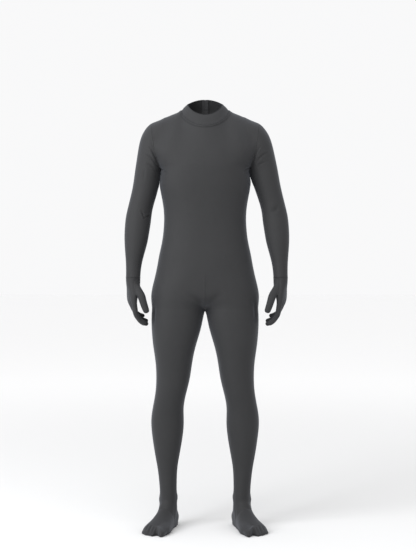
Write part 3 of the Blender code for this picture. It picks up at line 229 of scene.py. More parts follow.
def outer_side(node):
    """The points and faces of the outer side of a node's wall, with its triangles joined in pairs."""
    wall = GLOVE_WALL if "glove" in node else WALL
    work = bmesh.new()
    work.from_mesh(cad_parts[node].data)
    bmesh.ops.remove_doubles(work, verts=work.verts, dist=SAME)
    edges = [e for e in work.edges if abs(e.calc_length() - wall) < SAME]
    rims = {f for e in edges for f in e.link_faces}
    bmesh.ops.delete(work, geom=list(rims), context="FACES")
    groups, seen = [], set()
    for face in work.faces:
        if face in seen:
            continue
        group, stack = [], [face]
        seen.add(face)
        while stack:
            here = stack.pop()
            group.append(here)
            for edge in here.edges:
                for other in edge.link_faces:
                    if other not in seen:
                        seen.add(other)
                        stack.append(other)
        groups.append(group)
    groups.sort(key=lambda g: -sum(f.calc_area() for f in g))
    keep = set(groups[0])
    bmesh.ops.delete(work, geom=[f for f in work.faces if f not in keep], context="FACES")
    bmesh.ops.join_triangles(
        work,
        faces=work.faces,
        angle_face_threshold=pi,
        angle_shape_threshold=pi,
        topology_influence=1.0,
    )
    work.verts.index_update()
    points = np.array([v.co for v in work.verts])
    faces = [[v.index for v in f.verts] for f in work.faces]
    edge_points = {v.index for v in work.verts if v.is_boundary}
    work.free()
    return points, faces, edge_points


def welded():
    """All pieces as one surface, sewn along their seams, with the piece of each face."""
    points, faces, owners, borders = [], [], [], []
    for number, node in enumerate(NODES):
        own, own_faces, edge = outer_side(node)
        start = len(points)
        points += list(own)
        faces += [[i + start for i in f] for f in own_faces]
        owners += [number] * len(own_faces)
        borders += [i + start for i in edge]
    tree = KDTree(len(borders))
    for place in borders:
        tree.insert(points[place], place)
    tree.balance()
    root = {i: i for i in borders}

    def top(i):
        while root[i] != i:
            i = root[i]
        return i

    for i in borders:
        for _, j, _ in tree.find_range(points[i], WELD):
            a, b = top(i), top(j)
            if a != b:
                root[max(a, b)] = min(a, b)
    members = {}
    for i in borders:
        members.setdefault(top(i), []).append(i)
    merged = {}
    for first, group in members.items():
        place = np.mean([points[i] for i in group], axis=0)
        for i in group:
            merged[i] = first
            points[i] = place
    used, index = [], {}
    joined_faces, joined_owners = [], []
    for face, owner in zip(faces, owners):
        ring = []
        for i in face:
            i = merged.get(i, i)
            if i not in index:
                index[i] = len(used)
                used.append(points[i])
            if index[i] not in ring:
                ring.append(index[i])
        if len(ring) > 2:
            joined_faces.append(ring)
            joined_owners.append(owner)
    return np.array(used), joined_faces, joined_owners


def mesh_object(name, points, faces, materials=()):
    """A new object of these points and faces."""
    mesh = bpy.data.meshes.new(name)
    mesh.from_pydata([tuple(map(float, p)) for p in points], [], faces)
    mesh.validate()
    for material in materials:
        mesh.materials.append(material)
    obj = bpy.data.objects.new(name, mesh)
    bpy.context.scene.collection.objects.link(obj)
    return obj


def read_points(mesh):
    """A mesh's points as rows."""
    flat = np.empty(len(mesh.vertices) * 3)
    mesh.vertices.foreach_get("co", flat)
    return flat.reshape(-1, 3)


def evaluated(obj):
    """A plain mesh of an object as its modifiers make it."""
    graph = bpy.context.evaluated_depsgraph_get()
    return bpy.data.meshes.new_from_object(obj.evaluated_get(graph), depsgraph=graph)


def with_subdivision(obj, levels):
    """Puts a smooth subdivision on an object."""
    modifier = obj.modifiers.new("smooth", "SUBSURF")
    modifier.levels = modifier.render_levels = levels
    modifier.boundary_smooth = "PRESERVE_CORNERS"


def smooth_surface():
    """The welded surface subdivided, passing close to the solids' own points."""
    points, faces, owners = welded()
    obj = mesh_object("surface", points, faces)
    obj.data.polygons.foreach_set("material_index", owners)
    for node in NODES:
        obj.data.materials.append(bpy.data.materials.new("owner_" + node))
    work = bmesh.new()
    work.from_mesh(obj.data)
    bmesh.ops.recalc_face_normals(work, faces=work.faces)
    work.to_mesh(obj.data)
    work.free()
    with_subdivision(obj, LEVELS)
    control = points.copy()
    for _ in range(ROUNDS):
        result = evaluated(obj)
        reached = read_points(result)[: len(points)]
        control += (points - reached) * ROUND_SHARE
        obj.data.vertices.foreach_set("co", control.ravel())
        obj.data.update()
        bpy.data.meshes.remove(result)
    result = evaluated(obj)
    bpy.data.objects.remove(obj, do_unlink=True)
    return result


class Surface:
    """The suit's outer side: a coarse mesh, and a fine one whose first points are the coarse ones."""

    def __init__(self):
        coarse = smooth_surface()
        self.coarse_faces = [list(p.vertices) for p in coarse.polygons]
        self.coarse_owner = [p.material_index for p in coarse.polygons]
        self.coarse_edges = {frozenset(e.vertices): i for i, e in enumerate(coarse.edges)}
        self.coarse_count = len(coarse.vertices)
        obj = bpy.data.objects.new("fine", coarse)
        bpy.context.scene.collection.objects.link(obj)
        with_subdivision(obj, 1)
        fine = evaluated(obj)
        bpy.data.objects.remove(obj, do_unlink=True)
        self.points = read_points(fine)
        self.faces = [list(p.vertices) for p in fine.polygons]
        self.owner = np.array([p.material_index for p in fine.polygons])
        flat = np.empty(len(fine.vertices) * 3)
        fine.vertices.foreach_get("normal", flat)
        self.normals = flat.reshape(-1, 3)
        foremost = np.argmin(self.points[:, 1] + (self.points[:, 2] < FEET_TOP))
        if self.normals[foremost][1] > 0:
            self.normals = -self.normals
            self.faces = [f[::-1] for f in self.faces]
            self.coarse_faces = [f[::-1] for f in self.coarse_faces]
        self.tree = BVHTree.FromPolygons([Vector(p) for p in self.points], self.faces)
        self.seams = self.find_seams()

    def find_seams(self):
        """Chains of points along each seam: (the two owners, points' numbers)."""
        sides = {}
        for face, owner in zip(self.faces, self.owner):
            for a, b in zip(face, face[1:] + face[:1]):
                sides.setdefault(frozenset((a, b)), []).append(owner)
        links = {}
        front = NODES.index("front")
        for edge, owners in sides.items():
            a, b = edge
            if len(owners) == 1:
                kind = (owners[0], -1)
            elif owners[0] != owners[1]:
                kind = tuple(sorted(owners))
            elif owners[0] == front and self.in_dart(a) and self.in_dart(b):
                kind = (front, front)
            else:
                continue
            links.setdefault(kind, {}).setdefault(a, []).append(b)
            links[kind].setdefault(b, []).append(a)
        chains = []
        for kind, graph in links.items():
            left = {frozenset((a, b)) for a, others in graph.items() for b in others}
            ends = [a for a, others in graph.items() if len(others) != 2] + list(graph)
            for start in ends:
                while any(frozenset((start, b)) in left for b in graph[start]):
                    chain = [start]
                    while True:
                        nexts = [b for b in graph[chain[-1]] if frozenset((chain[-1], b)) in left]
                        if not nexts:
                            break
                        left.remove(frozenset((chain[-1], nexts[0])))
                        chain.append(nexts[0])
                        if len(graph[chain[-1]]) != 2:
                            break
                    chains.append((kind, chain))
        return chains

    def in_dart(self, i):
        """Whether a point of the front lies on its centre seam."""
        x, y, z = self.points[i]
        return abs(x) < DART_HALF and z < DART_TOP and y < DART_REAR

    def chains(self, test):
        """The seams' chains whose pair of owners passes a test. An open edge has -1 for its second."""
        return [chain for kind, chain in self.seams if test(kind)]

    def on_front(self, x, height, side):
        """The place on the front or the back at a width and a height."""
        start = Vector((x, side * RAY_START, height - HOLD_HEIGHT))
        place = self.tree.ray_cast(start, Vector((0, -side, 0)))[0]
        return None if place is None else np.array(place)

    def on_foot(self, along, across, side):
        """The place on the top of a foot."""
        ahead = np.array([sin(FOOT_TURN), -cos(FOOT_TURN)])
        outward = np.array([cos(FOOT_TURN), sin(FOOT_TURN)])
        x, y = HEEL + ahead * along + outward * across
        place = self.tree.ray_cast(Vector((side * x, y, FOOT_RAY)), Vector((0, 0, -1)))[0]
        return None if place is None else np.array(place)

    def smoothed(self, weights, rounds):
        """Moves each point towards the mean of its neighbours by its weight, again and again."""
        pairs = np.array([[a, b] for f in self.faces for a, b in zip(f, f[1:] + f[:1])])
        pairs = pairs[(weights[pairs] > LEAST_PULL).any(axis=1)]
        count = np.maximum(np.bincount(pairs[:, 0], minlength=len(weights)), 1)
        start, end = pairs.T
        for _ in range(rounds):
            total = [np.bincount(start, self.points[end, k], len(weights)) for k in range(3)]
            move = np.stack(total, 1) / count[:, None] - self.points
            self.points = self.points + move * weights[:, None]

    def raised(self, amounts):
        """Moves each point outwards."""
        self.points = self.points + self.normals * np.asarray(amounts)[:, None]


def is_edge(kind):
    """Whether a seam's pair of owners means an open edge."""
    return -1 in kind


def distance_to_line(points, line):
    """Each point's distance to a line, and how far along it the nearest place lies, 0 to 1."""
    best = np.full(len(points), np.inf)
    place = np.zeros(len(points))
    runs = len(line) - 1
    for k in range(runs):
        a, run = line[k], line[k + 1] - line[k]
        t = np.clip((points - a) @ run / max(run @ run, 1e-12), 0, 1)
        gap = np.linalg.norm(points - a - t[:, None] * run, axis=1)
        nearer = gap < best
        best = np.where(nearer, gap, best)
        place = np.where(nearer, (k + t) / runs, place)
    return best, place


def crease_lines(surface):
    """Each crease as a line of places on the cloth, with its width and depth."""
    steps = np.linspace(0, 1, CREASE_POINTS)
    for crease in CREASES:
        a = np.array([crease["x1"], crease["h1"]])
        b = np.array([crease["x2"], crease["h2"]])
        side = unit(np.array([a[1] - b[1], b[0] - a[0]]))
        bowed = [a + (b - a) * t + side * crease["bow"] * 4 * t * (1 - t) for t in steps]
        places = [surface.on_front(*place, crease["side"]) for place in bowed]
        yield places, crease["width"], crease["depth"]
    for toe in TOES:
        a = np.array([toe["along1"], toe["across1"]])
        b = np.array([toe["along2"], toe["across2"]])
        for side in (-1, 1):
            places = [surface.on_foot(*(a + (b - a) * t), side) for t in steps]
            yield places, toe["width"], toe["depth"]


def creased(surface):
    """A soft trough between two low ridges along each crease."""
    total = np.zeros(len(surface.points))
    for line, width, depth in crease_lines(surface):
        line = [place for place in line if place is not None]
        if len(line) < 2:
            continue
        near = np.linalg.norm(surface.points - line[len(line) // 2], axis=1) < CREASE_REACH
        gap, along = distance_to_line(surface.points[near], line)
        gap = gap / width
        within = CREASE_FADE + (1 - 2 * CREASE_FADE) * along
        fade = np.sin(pi * np.clip(within, 0, 1)) ** CREASE_ENDS
        ridge = RIDGE_HEIGHT * np.exp(-((gap - RIDGE_PLACE) ** 2) / RIDGE_WIDTH)
        total[near] += depth * fade * (ridge - np.exp(-(gap**2) / TROUGH_SPREAD))
    return total


def swollen(surface):
    """The cloth's swells over the ankles and the heels."""
    total = np.zeros(len(surface.points))
    for swell in SWELLS:
        for side in (-1, 1):
            aim = Vector((side * swell["x"], swell["y"], swell["height"] - HOLD_HEIGHT))
            place = np.array(surface.tree.find_nearest(aim)[0])
            gap = np.linalg.norm(surface.points - place, axis=1) / swell["width"]
            total += swell["depth"] * np.exp(-(gap**2))
    return total


def pressed(surface):
    """How far the cloth of arms and trunk comes together under the armpits, just clear of touching."""
    height = surface.points[:, 2] + HOLD_HEIGHT
    aside = np.abs(surface.points[:, 0])
    start, full, end = PRESS_HEIGHTS
    near = (height > start) & (height < end) & (aside > PRESS_SIDES[0]) & (aside < PRESS_SIDES[1])
    total = np.zeros(len(surface.points))
    for i in np.flatnonzero(near):
        out = Vector(surface.normals[i])
        place = Vector(surface.points[i]) + out * PRESS_LEFT
        gap = surface.tree.ray_cast(place, out, PRESS_REACH)[3]
        if gap is not None:
            fade = min((height[i] - start) / (full - start), 1) * np.exp(-((gap / PRESS_FADE) ** 2))
            total[i] = max(gap / 2 - PRESS_LEFT, 0) * fade
    return total


def near_chains(surface, chains):
    """Each fine point's distance to the nearest point of these chains."""
    tree = KDTree(sum(len(c) for c in chains))
    for chain in chains:
        for i in chain:
            tree.insert(surface.points[i], i)
    tree.balance()
    return np.array([tree.find(p)[2] for p in surface.points])


# Pieces of cloth


def cloth_piece(surface, number, material):
    """One closed shell: the fine outer side, and an inner side of the coarse faces."""
    node = NODES[number]
    shell = GLOVE_SHELL if "glove" in node else SHELL
    outer = [f for f, o in zip(surface.faces, surface.owner) if o == number]
    inner = [f for f, o in zip(surface.coarse_faces, surface.coarse_owner) if o == number]
    index = {}
    points = []
    for face in outer:
        for i in face:
            if i not in index:
                index[i] = len(points)
                points.append(surface.points[i])
    faces = [[index[i] for i in f] for f in outer]
    under = {}
    for face in inner:
        for i in face:
            if i not in under:
                under[i] = len(points)
                place = surface.points[i] - surface.normals[i] * shell
                points.append([place[0], place[1], max(place[2], INNER_LOWEST)])
    faces += [[under[i] for i in reversed(f)] for f in inner]
    uses = {}
    for face in inner:
        for a, b in zip(face, face[1:] + face[:1]):
            uses.setdefault(frozenset((a, b)), []).append((a, b))
    for edge, found in uses.items():
        if len(found) == 1:
            a, b = found[0]
            middle = surface.coarse_count + surface.coarse_edges[edge]
            faces.append([index[b], index[middle], index[a], under[a], under[b]])
    obj = mesh_object(node + "_cloth", points, faces, [material])
    # The outer side's points carry the painted shade of the creases and the collar's lines; the inner
    # side gets none.
    shade = np.zeros(len(points))
    shade[list(index.values())] = surface.groove[list(index)]
    add_groove(obj.data, shade)
    finish_mesh(obj)
    return obj


def add_groove(mesh, values):
    """How much painted shade each point gets, from 0 to 1, for the material: in grooves and creases,
    along the collar's lines and on turned edges.
    """
    layer = mesh.attributes.new("groove", "FLOAT", "POINT")
    layer.data.foreach_set("value", np.asarray(values, np.float32))


def finish_mesh(obj, angle=50):
    """Turns the faces outwards and shades them smooth but for sharp edges."""
    work = bmesh.new()
    work.from_mesh(obj.data)
    bmesh.ops.recalc_face_normals(work, faces=work.faces)
    work.to_mesh(obj.data)
    work.free()
    obj.data.shade_smooth()
    obj.data.set_sharp_from_angle(angle=radians(angle))


def resampled(line, step):
    """Points about a step apart along a line."""
    run = np.concatenate([[0], np.cumsum(np.linalg.norm(np.diff(line, axis=0), axis=1))])
    count = max(int(run[-1] / step), 3)
    at = np.linspace(0, run[-1], count + 1)
    return np.stack([np.interp(at, run, line[:, k]) for k in range(3)], 1)


def surface_line(surface, line, lift=0.0):
    """Points and outward directions of a line laid on the cloth."""
    points, normals = [], []
    for p in line:
        place, normal, _, _ = surface.tree.find_nearest(Vector(p))
        points.append(np.array(place))
        normals.append(np.array(normal))
    normals = np.array(normals)
    for _ in range(NORMAL_ROUNDS):
        normals[1:-1] = unit(normals[:-2] + 2 * normals[1:-1] + normals[2:])
    return np.array(points) + normals * lift, normals


def swept_bar(points, normals, profile):
    """Points and faces of a bar with the given cross profile: sideways and out in each row."""
    before = np.concatenate([points[:1], points[:-1]])
    after = np.concatenate([points[1:], points[-1:]])
    run = unit(after - before)
    side = unit(np.cross(normals, run))
    out = np.cross(run, side)
    rings = [points + side * row[0] + out * row[1] for row in profile]
    grid = np.stack(rings, 1)
    count, wide = grid.shape[:2]
    faces = []
    for i in range(0, (count - 1) * wide, wide):
        for k in range(wide):
            m = (k + 1) % wide
            faces.append([i + k, i + m, i + wide + m, i + wide + k])
    faces.append(list(range(wide))[::-1])
    faces.append([(count - 1) * wide + k for k in range(wide)])
    return grid.reshape(-1, 3), faces


def bars_object(name, bars, profile, material):
    """All bars of one cross profile as one object."""
    points, faces = [], []
    for own, own_faces in bars:
        start = len(points)
        points += list(own)
        faces += [[i + start for i in f] for f in own_faces]
    obj = mesh_object(name, points, faces, [material])
    # Each point gets the painted shade of its row in the profile.
    add_groove(obj.data, np.resize([row[2] for row in profile], len(points)))
    finish_mesh(obj, BLOCK_ANGLE)
    return obj


# A seam's cross section: two low lips with a groove between them, sunk into the cloth at both sides.
# Sideways and out in metres, then the painted shade there, strongest deep in the groove.
SEAM_PROFILE = (
    (0.0015, -0.00010, 0.15),
    (0.0010, 0.00016, 0.2),
    (0.0005, 0.00022, 0.6),
    (0.0002, 0.00004, 0.9),
    (0.0, -0.00014, 1.0),
    (-0.0002, 0.00004, 0.9),
    (-0.0005, 0.00022, 0.6),
    (-0.0010, 0.00016, 0.2),
    (-0.0015, -0.00010, 0.15),
    (-0.0010, -0.0005, 0.0),
    (0.0010, -0.0005, 0.0),
)

# A turned edge's cross section, rounded: half its width and height, how far it is sunk, and its painted
# shade, a dark outline shadow along the edge
EDGE = (0.0011, 0.0010, 0.0003, 0.7)
EDGE_SIDES = 10
EDGE_PROFILE = [
    (EDGE[0] * cos(t), EDGE[1] * sin(t) - EDGE[2], EDGE[3])
    for t in np.linspace(0, 2 * pi, EDGE_SIDES + 1)[:-1]
]


# Materials

FLOOR_LIT = (0.0, 7.0)  # distances from the part where the floor's colour starts and ends to change
FLOOR_NEAR = (0.665, 0.665, 0.665)
FLOOR_FAR = (0.99, 0.99, 0.99)
KNIT_DARK = (0.0175, 0.0175, 0.0182)
KNIT_LIGHT = (0.0280, 0.0280, 0.0289)
# the colour of the painted shade in the seams' grooves, the crease troughs, the turned edges and along
# the collar's lines
KNIT_PAINTED_SHADE = (0.0070, 0.0070, 0.0074)


class Value:
    """The output of a shader node, which takes part in Python expressions."""

    def __init__(self, tree, socket):
        self.tree, self.socket = tree, socket

    def math(self, operation, other):
        """A Math node of this value and another one or a number."""
        node = self.tree.nodes.new("ShaderNodeMath")
        node.operation = operation
        self.tree.links.new(self.socket, node.inputs[0])
        if isinstance(other, Value):
            self.tree.links.new(other.socket, node.inputs[1])
        else:
            node.inputs[1].default_value = other
        return Value(self.tree, node.outputs[0])

    def __add__(self, other):
        return self.math("ADD", other)

    def __mul__(self, other):
        return self.math("MULTIPLY", other)

    __radd__, __rmul__ = __add__, __mul__


class Shader:
    """A material with one Principled shader, whose sockets are given by their names."""

    def __init__(self, name, **sockets):
        self.material = bpy.data.materials.new(name)
        self.material.use_nodes = True
        self.tree = self.material.node_tree
        self.surface = next(n for n in self.tree.nodes if n.type == "BSDF_PRINCIPLED")
        self.feed(**sockets)
        self.place = self.node("ShaderNodeTexCoord", output="Object")

    def fill(self, node, sockets):
        """Sets or links a node's inputs, by name or number."""
        for key, value in sockets.items():
            socket = node.inputs[key]
            if isinstance(value, Value):
                self.tree.links.new(value.socket, socket)
            elif socket.type == "RGBA":
                socket.default_value = (*value, 1)
            else:
                socket.default_value = value

    def feed(self, **sockets):
        """Sets or links the Principled shader's inputs, their names' spaces written as low lines."""
        self.fill(self.surface, {key.replace("_", " "): value for key, value in sockets.items()})

    def node(self, kind, settings=(), sockets=(), output=0):
        """A new node's output: its settings come first, then its inputs' values or links."""
        node = self.tree.nodes.new(kind)
        for key, value in dict(settings).items():
            setattr(node, key, value)
        self.fill(node, dict(sockets))
        return Value(self.tree, node.outputs[output])

    def noise(self, scale, detail, stretch=(1, 1, 1)):
        """Noise through the object, finer or coarser along each axis by its stretch."""
        place = self.node("ShaderNodeVectorMath", {"operation": "MULTIPLY"}, {0: self.place, 1: stretch})
        sockets = {"Scale": scale, "Detail": detail, "Vector": place}
        return self.node("ShaderNodeTexNoise", {}, sockets, "Fac")

    def mixed(self, amount, low, high):
        """A colour between two others, each three numbers or an earlier mix."""
        return self.node("ShaderNodeMix", {"data_type": "RGBA"}, {"Factor": amount, 6: low, 7: high}, 2)

    def bump(self, height, distance, strength):
        """Gives the surface a fine relief."""
        sockets = {"Height": height, "Distance": distance, "Strength": strength}
        self.feed(Normal=self.node("ShaderNodeBump", {}, sockets))


def knit_material():
    """Fine matt stretch knit: upright ribs of loops, faintly mottled, with painted shade in its seams'
    grooves, its crease troughs, on its turned edges and along the collar's lines.
    """
    shader = Shader(
        "knit_cloth",
        Specular_IOR_Level=0.2,
        Sheen_Weight=0.13,
        Sheen_Roughness=0.45,
        Sheen_Tint=(0.80, 0.86, 1.0),
    )
    ribs = shader.noise(scale=900.0, detail=2.0, stretch=(1, 1, 0.30))
    loops = shader.noise(scale=1500.0, detail=1.0)
    mottle = shader.noise(scale=9.0, detail=4.0)
    patches = shader.noise(scale=38.0, detail=3.0, stretch=(1, 1, 0.7))
    tone = mottle * 0.45 + patches * 0.25 + ribs * 0.30
    groove = shader.node("ShaderNodeAttribute", {"attribute_name": "groove"}, output="Fac")
    cloth = shader.mixed(tone, KNIT_DARK, KNIT_LIGHT)
    # Painted shade: the cloth's colour goes towards a darker one by each point's painted shade
    # attribute.
    shader.feed(Base_Color=shader.mixed(groove, cloth, KNIT_PAINTED_SHADE), Roughness=0.62 + mottle * 0.16)
    shader.bump(ribs * 0.7 + loops * 0.3, distance=0.00025, strength=0.55)
    return shader.material


# The zip's and the thread's materials: two colours, how rough and how metallic, and their grain
FINISHES = table(
    "name low high roughness metallic grain relief",
    ("thread", (0.024, 0.024, 0.026), (0.040, 0.040, 0.042), 0.60, 0.0, 1800.0, 0.00010),
    ("tape_weave", (0.022, 0.022, 0.024), (0.036, 0.036, 0.038), 0.85, 0.0, 900.0, 0.00020),
    ("coil_nylon", (0.016, 0.016, 0.017), (0.026, 0.026, 0.027), 0.40, 0.0, 300.0, 0.00005),
    ("dark_metal", (0.060, 0.060, 0.064), (0.090, 0.090, 0.095), 0.33, 1.0, 250.0, 0.00004),
)


def plain_material(name, low, high, roughness, metallic, grain, relief):
    """A plain finish with a fine grain in its colour, roughness and relief."""
    shader = Shader(name, Metallic=metallic)
    grain = shader.noise(scale=grain, detail=3.0)
    shader.feed(Base_Color=shader.mixed(grain, low, high), Roughness=roughness - 0.06 + grain * 0.12)
    shader.bump(grain, distance=relief, strength=0.5)
    return shader.material


def floor_material():
    """A pale floor, a little greyer where the lamps shine on it, so that it looks even all over."""
    shader = Shader("pale_floor", Roughness=0.9)
    length = shader.node("ShaderNodeVectorMath", {"operation": "LENGTH"}, {0: shader.place}, "Value")
    sockets = {"Value": length, "From Min": FLOOR_LIT[0], "From Max": FLOOR_LIT[1]}
    away = shader.node("ShaderNodeMapRange", {"interpolation_type": "SMOOTHSTEP"}, sockets)
    shader.feed(Base_Color=shader.mixed(away, FLOOR_NEAR, FLOOR_FAR))
    return shader.material


# Small things repeated along a path


def repeat_tree():
    """Geometry Nodes: one rounded block at each point, turned by two attributes."""
    tree = bpy.data.node_groups.new("repeat_block", "GeometryNodeTree")
    face = tree.interface
    face.new_socket("Geometry", in_out="INPUT", socket_type="NodeSocketGeometry")
    face.new_socket("Size", in_out="INPUT", socket_type="NodeSocketVector")
    face.new_socket("Fineness", in_out="INPUT", socket_type="NodeSocketInt")
    face.new_socket("Material", in_out="INPUT", socket_type="NodeSocketMaterial")
    face.new_socket("Geometry", in_out="OUTPUT", socket_type="NodeSocketGeometry")
    new, link = tree.nodes.new, tree.links.new
    start, end = new("NodeGroupInput"), new("NodeGroupOutput")
    ball = new("GeometryNodeMeshIcoSphere")
    ball.inputs["Radius"].default_value = 1.0
    link(start.outputs["Fineness"], ball.inputs["Subdivisions"])
    points = new("GeometryNodeMeshToPoints")
    link(start.outputs["Geometry"], points.inputs["Mesh"])
    turn = None
    for axis, name in (("X", "along"), ("Z", "out")):
        value = new("GeometryNodeInputNamedAttribute")
        value.data_type = "FLOAT_VECTOR"
        value.inputs["Name"].default_value = name
        align = new("FunctionNodeAlignRotationToVector")
        align.axis = axis
        if turn is not None:
            align.pivot_axis = "X"
            link(turn, align.inputs["Rotation"])
        link(value.outputs["Attribute"], align.inputs["Vector"])
        turn = align.outputs["Rotation"]
    place = new("GeometryNodeInstanceOnPoints")
    link(points.outputs["Points"], place.inputs["Points"])
    link(ball.outputs["Mesh"], place.inputs["Instance"])
    link(turn, place.inputs["Rotation"])
    link(start.outputs["Size"], place.inputs["Scale"])
    real = new("GeometryNodeRealizeInstances")
    paint = new("GeometryNodeSetMaterial")
    link(place.outputs["Instances"], real.inputs["Geometry"])
    link(real.outputs["Geometry"], paint.inputs["Geometry"])
    link(start.outputs["Material"], paint.inputs["Material"])
    link(paint.outputs["Geometry"], end.inputs["Geometry"])
    return tree


REPEAT = repeat_tree()


def repeated(name, points, along, out, size, material, fineness=1):
    """A plain mesh of rounded blocks, of half sizes along the path, across it and out."""
    mesh = bpy.data.meshes.new(name + "_places")
    mesh.from_pydata([tuple(map(float, p)) for p in points], [], [])
    for label, values in (("along", along), ("out", out)):
        layer = mesh.attributes.new(label, "FLOAT_VECTOR", "POINT")
        layer.data.foreach_set("vector", np.asarray(values, float).ravel())
    holder = bpy.data.objects.new(name + "_places", mesh)
    bpy.context.scene.collection.objects.link(holder)
    modifier = holder.modifiers.new("repeat", "NODES")
    modifier.node_group = REPEAT
    sockets = {s.name: s.identifier for s in REPEAT.interface.items_tree if s.in_out == "INPUT"}
    modifier[sockets["Size"]] = size
    modifier[sockets["Fineness"]] = fineness
    modifier[sockets["Material"]] = material
    made = evaluated(holder)
    bpy.data.objects.remove(holder, do_unlink=True)
    made.name = name
    obj = bpy.data.objects.new(name, made)
    bpy.context.scene.collection.objects.link(obj)
    finish_mesh(obj, BLOCK_ANGLE)
    return obj


# Making


def placed(obj, slot, *nodes):
    """Puts a finished piece on the suit's body and in place of CAD nodes. The slot is not used."""
    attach(obj, BODY)
    if nodes:
        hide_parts(*nodes)
    return obj


def seam_bars(surface):
    """A bar with a groove on every seam of the cloth."""
    bars = []
    for kind, chain in surface.seams:
        if is_edge(kind):
            continue
        names = [NODES[k] for k in kind]
        small = all("glove" in n for n in names)
        line = resampled(surface.points[chain], GLOVE_SEAM_STEP if small else SEAM_STEP)
        points, normals = surface_line(surface, line, NECK_LIFT if "collar" in names else 0.0)
        scale = GLOVE_LINES if small else NECK_LINES if "collar" in names else 1.0
        profile = [(a * scale, b * scale) for a, b, _ in SEAM_PROFILE]
        bars.append(swept_bar(points, normals, profile))
        if "collar" in names:
            bars.append(swept_bar(*neck_line(surface, line), profile))
    return bars


def rim_bars(surface):
    """The turned edges: round the collar's rim and down both sides of the zip."""
    lines = [resampled(surface.points[chain], RIM_STEP) for chain in surface.chains(is_edge)]
    return [swept_bar(*surface_line(surface, line), EDGE_PROFILE) for line in lines]


def beside(surface, line, distance):
    """A line on the cloth at a distance from another, and its outward directions."""
    points, normals = surface_line(surface, line)
    run = unit(np.gradient(points, axis=0))
    return surface_line(surface, points + np.cross(normals, run) * distance)


def neck_line(surface, line):
    """The second line round the collar's foot: the lower of the two beside the seam."""
    both = (beside(surface, line, side * NECK_BAND) for side in (-1, 1))
    return min(both, key=lambda row: row[0][:, 2].mean())


def stitch_row(surface, chain, distance):
    """Places, runs and outward directions of a row of stitches beside a chain."""
    line = resampled(surface.points[chain], STITCH_STEP)
    points, normals = beside(surface, line, distance)
    return points, unit(np.gradient(points, axis=0)), normals


def stitches(surface, material):
    """A row of stitches on both sides of each seam, and one round the collar's foot."""
    rows = []
    for kind, chain in surface.seams:
        names = [NODES[k] for k in kind if k >= 0]
        if is_edge(kind) or len(chain) < SHORT_SEAM or all("glove" in n for n in names):
            continue
        rows += [stitch_row(surface, chain, side * STITCH_SIDE) for side in (-1, 1)]
        if "collar" in names:
            below = [stitch_row(surface, chain, side * NECK_BAND) for side in (-1, 1)]
            rows.append(min(below, key=lambda row: row[0][:, 2].mean()))
    places, runs, outs = (np.concatenate(part) for part in zip(*rows))
    return repeated("stitches", places, runs, outs, STITCH, material)


def zip_teeth(material):
    """Both halves of the coil, in place of the plain band, down the middle of its own points."""
    _, depth, height = read_points(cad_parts["zip_chain"].data).T
    heights = np.arange(height.min() + TOOTH_STEP, height.max() - TOOTH_STEP, TOOTH_STEP)
    levels = np.unique(np.round(height, 4))
    rear = np.array([depth[np.abs(height - z) < BAND_REACH].mean() for z in levels])
    y = np.interp(heights, levels, rear)
    line = np.stack([np.zeros_like(y), y, heights], 1)
    run = unit(np.gradient(line, axis=0))
    out = unit(np.cross(np.array([1.0, 0.0, 0.0]), run))
    out = out * np.where(out[:, 1:2] > 0, 1, -1)
    aside = np.array([TOOTH_SIDE * TOOTH[1], 0, 0])
    places = np.concatenate([line + (run * TOOTH_SHIFT + aside) * side for side in (-1, 1)])
    runs = np.concatenate([run, run])
    outs = np.concatenate([out, out])
    return repeated("zip_teeth", places, runs, outs, TOOTH, material, TOOTH_FINENESS)


def evened(surface, foot):
    """Takes the hollows out of the yoke beside the collar, where the cloth is pulled smooth."""
    aside = (np.abs(surface.points[:, 0]) - YOKE_MIDDLE[0]) / YOKE_SPREAD[0]
    up = (surface.points[:, 2] + HOLD_HEIGHT - YOKE_MIDDLE[1]) / YOKE_SPREAD[1]
    weights = np.exp(-(aside**2 + up**2))
    for chains, (end, fade) in ((foot, YOKE_SEAM), (surface.chains(is_edge), YOKE_EDGE)):
        weights *= np.clip((near_chains(surface, chains) - end) / fade, 0, 1)
    surface.smoothed(np.where(weights > YOKE_LEAST, YOKE_PULL * weights**0.5, 0.0), YOKE_ROUNDS)


def rounded_toes(surface):
    """Rounds the front of each foot, where the cloth is pulled over the toes."""
    _, y, z = surface.points.T
    low = np.clip((TOE_HEIGHT[0] - z - HOLD_HEIGHT) / TOE_HEIGHT[1], 0, 1)
    ahead = np.clip((TOE_BACK[0] - y) / TOE_BACK[1], 0, 1)
    surface.smoothed(TOE_PULL * low * ahead, TOE_ROUNDS)


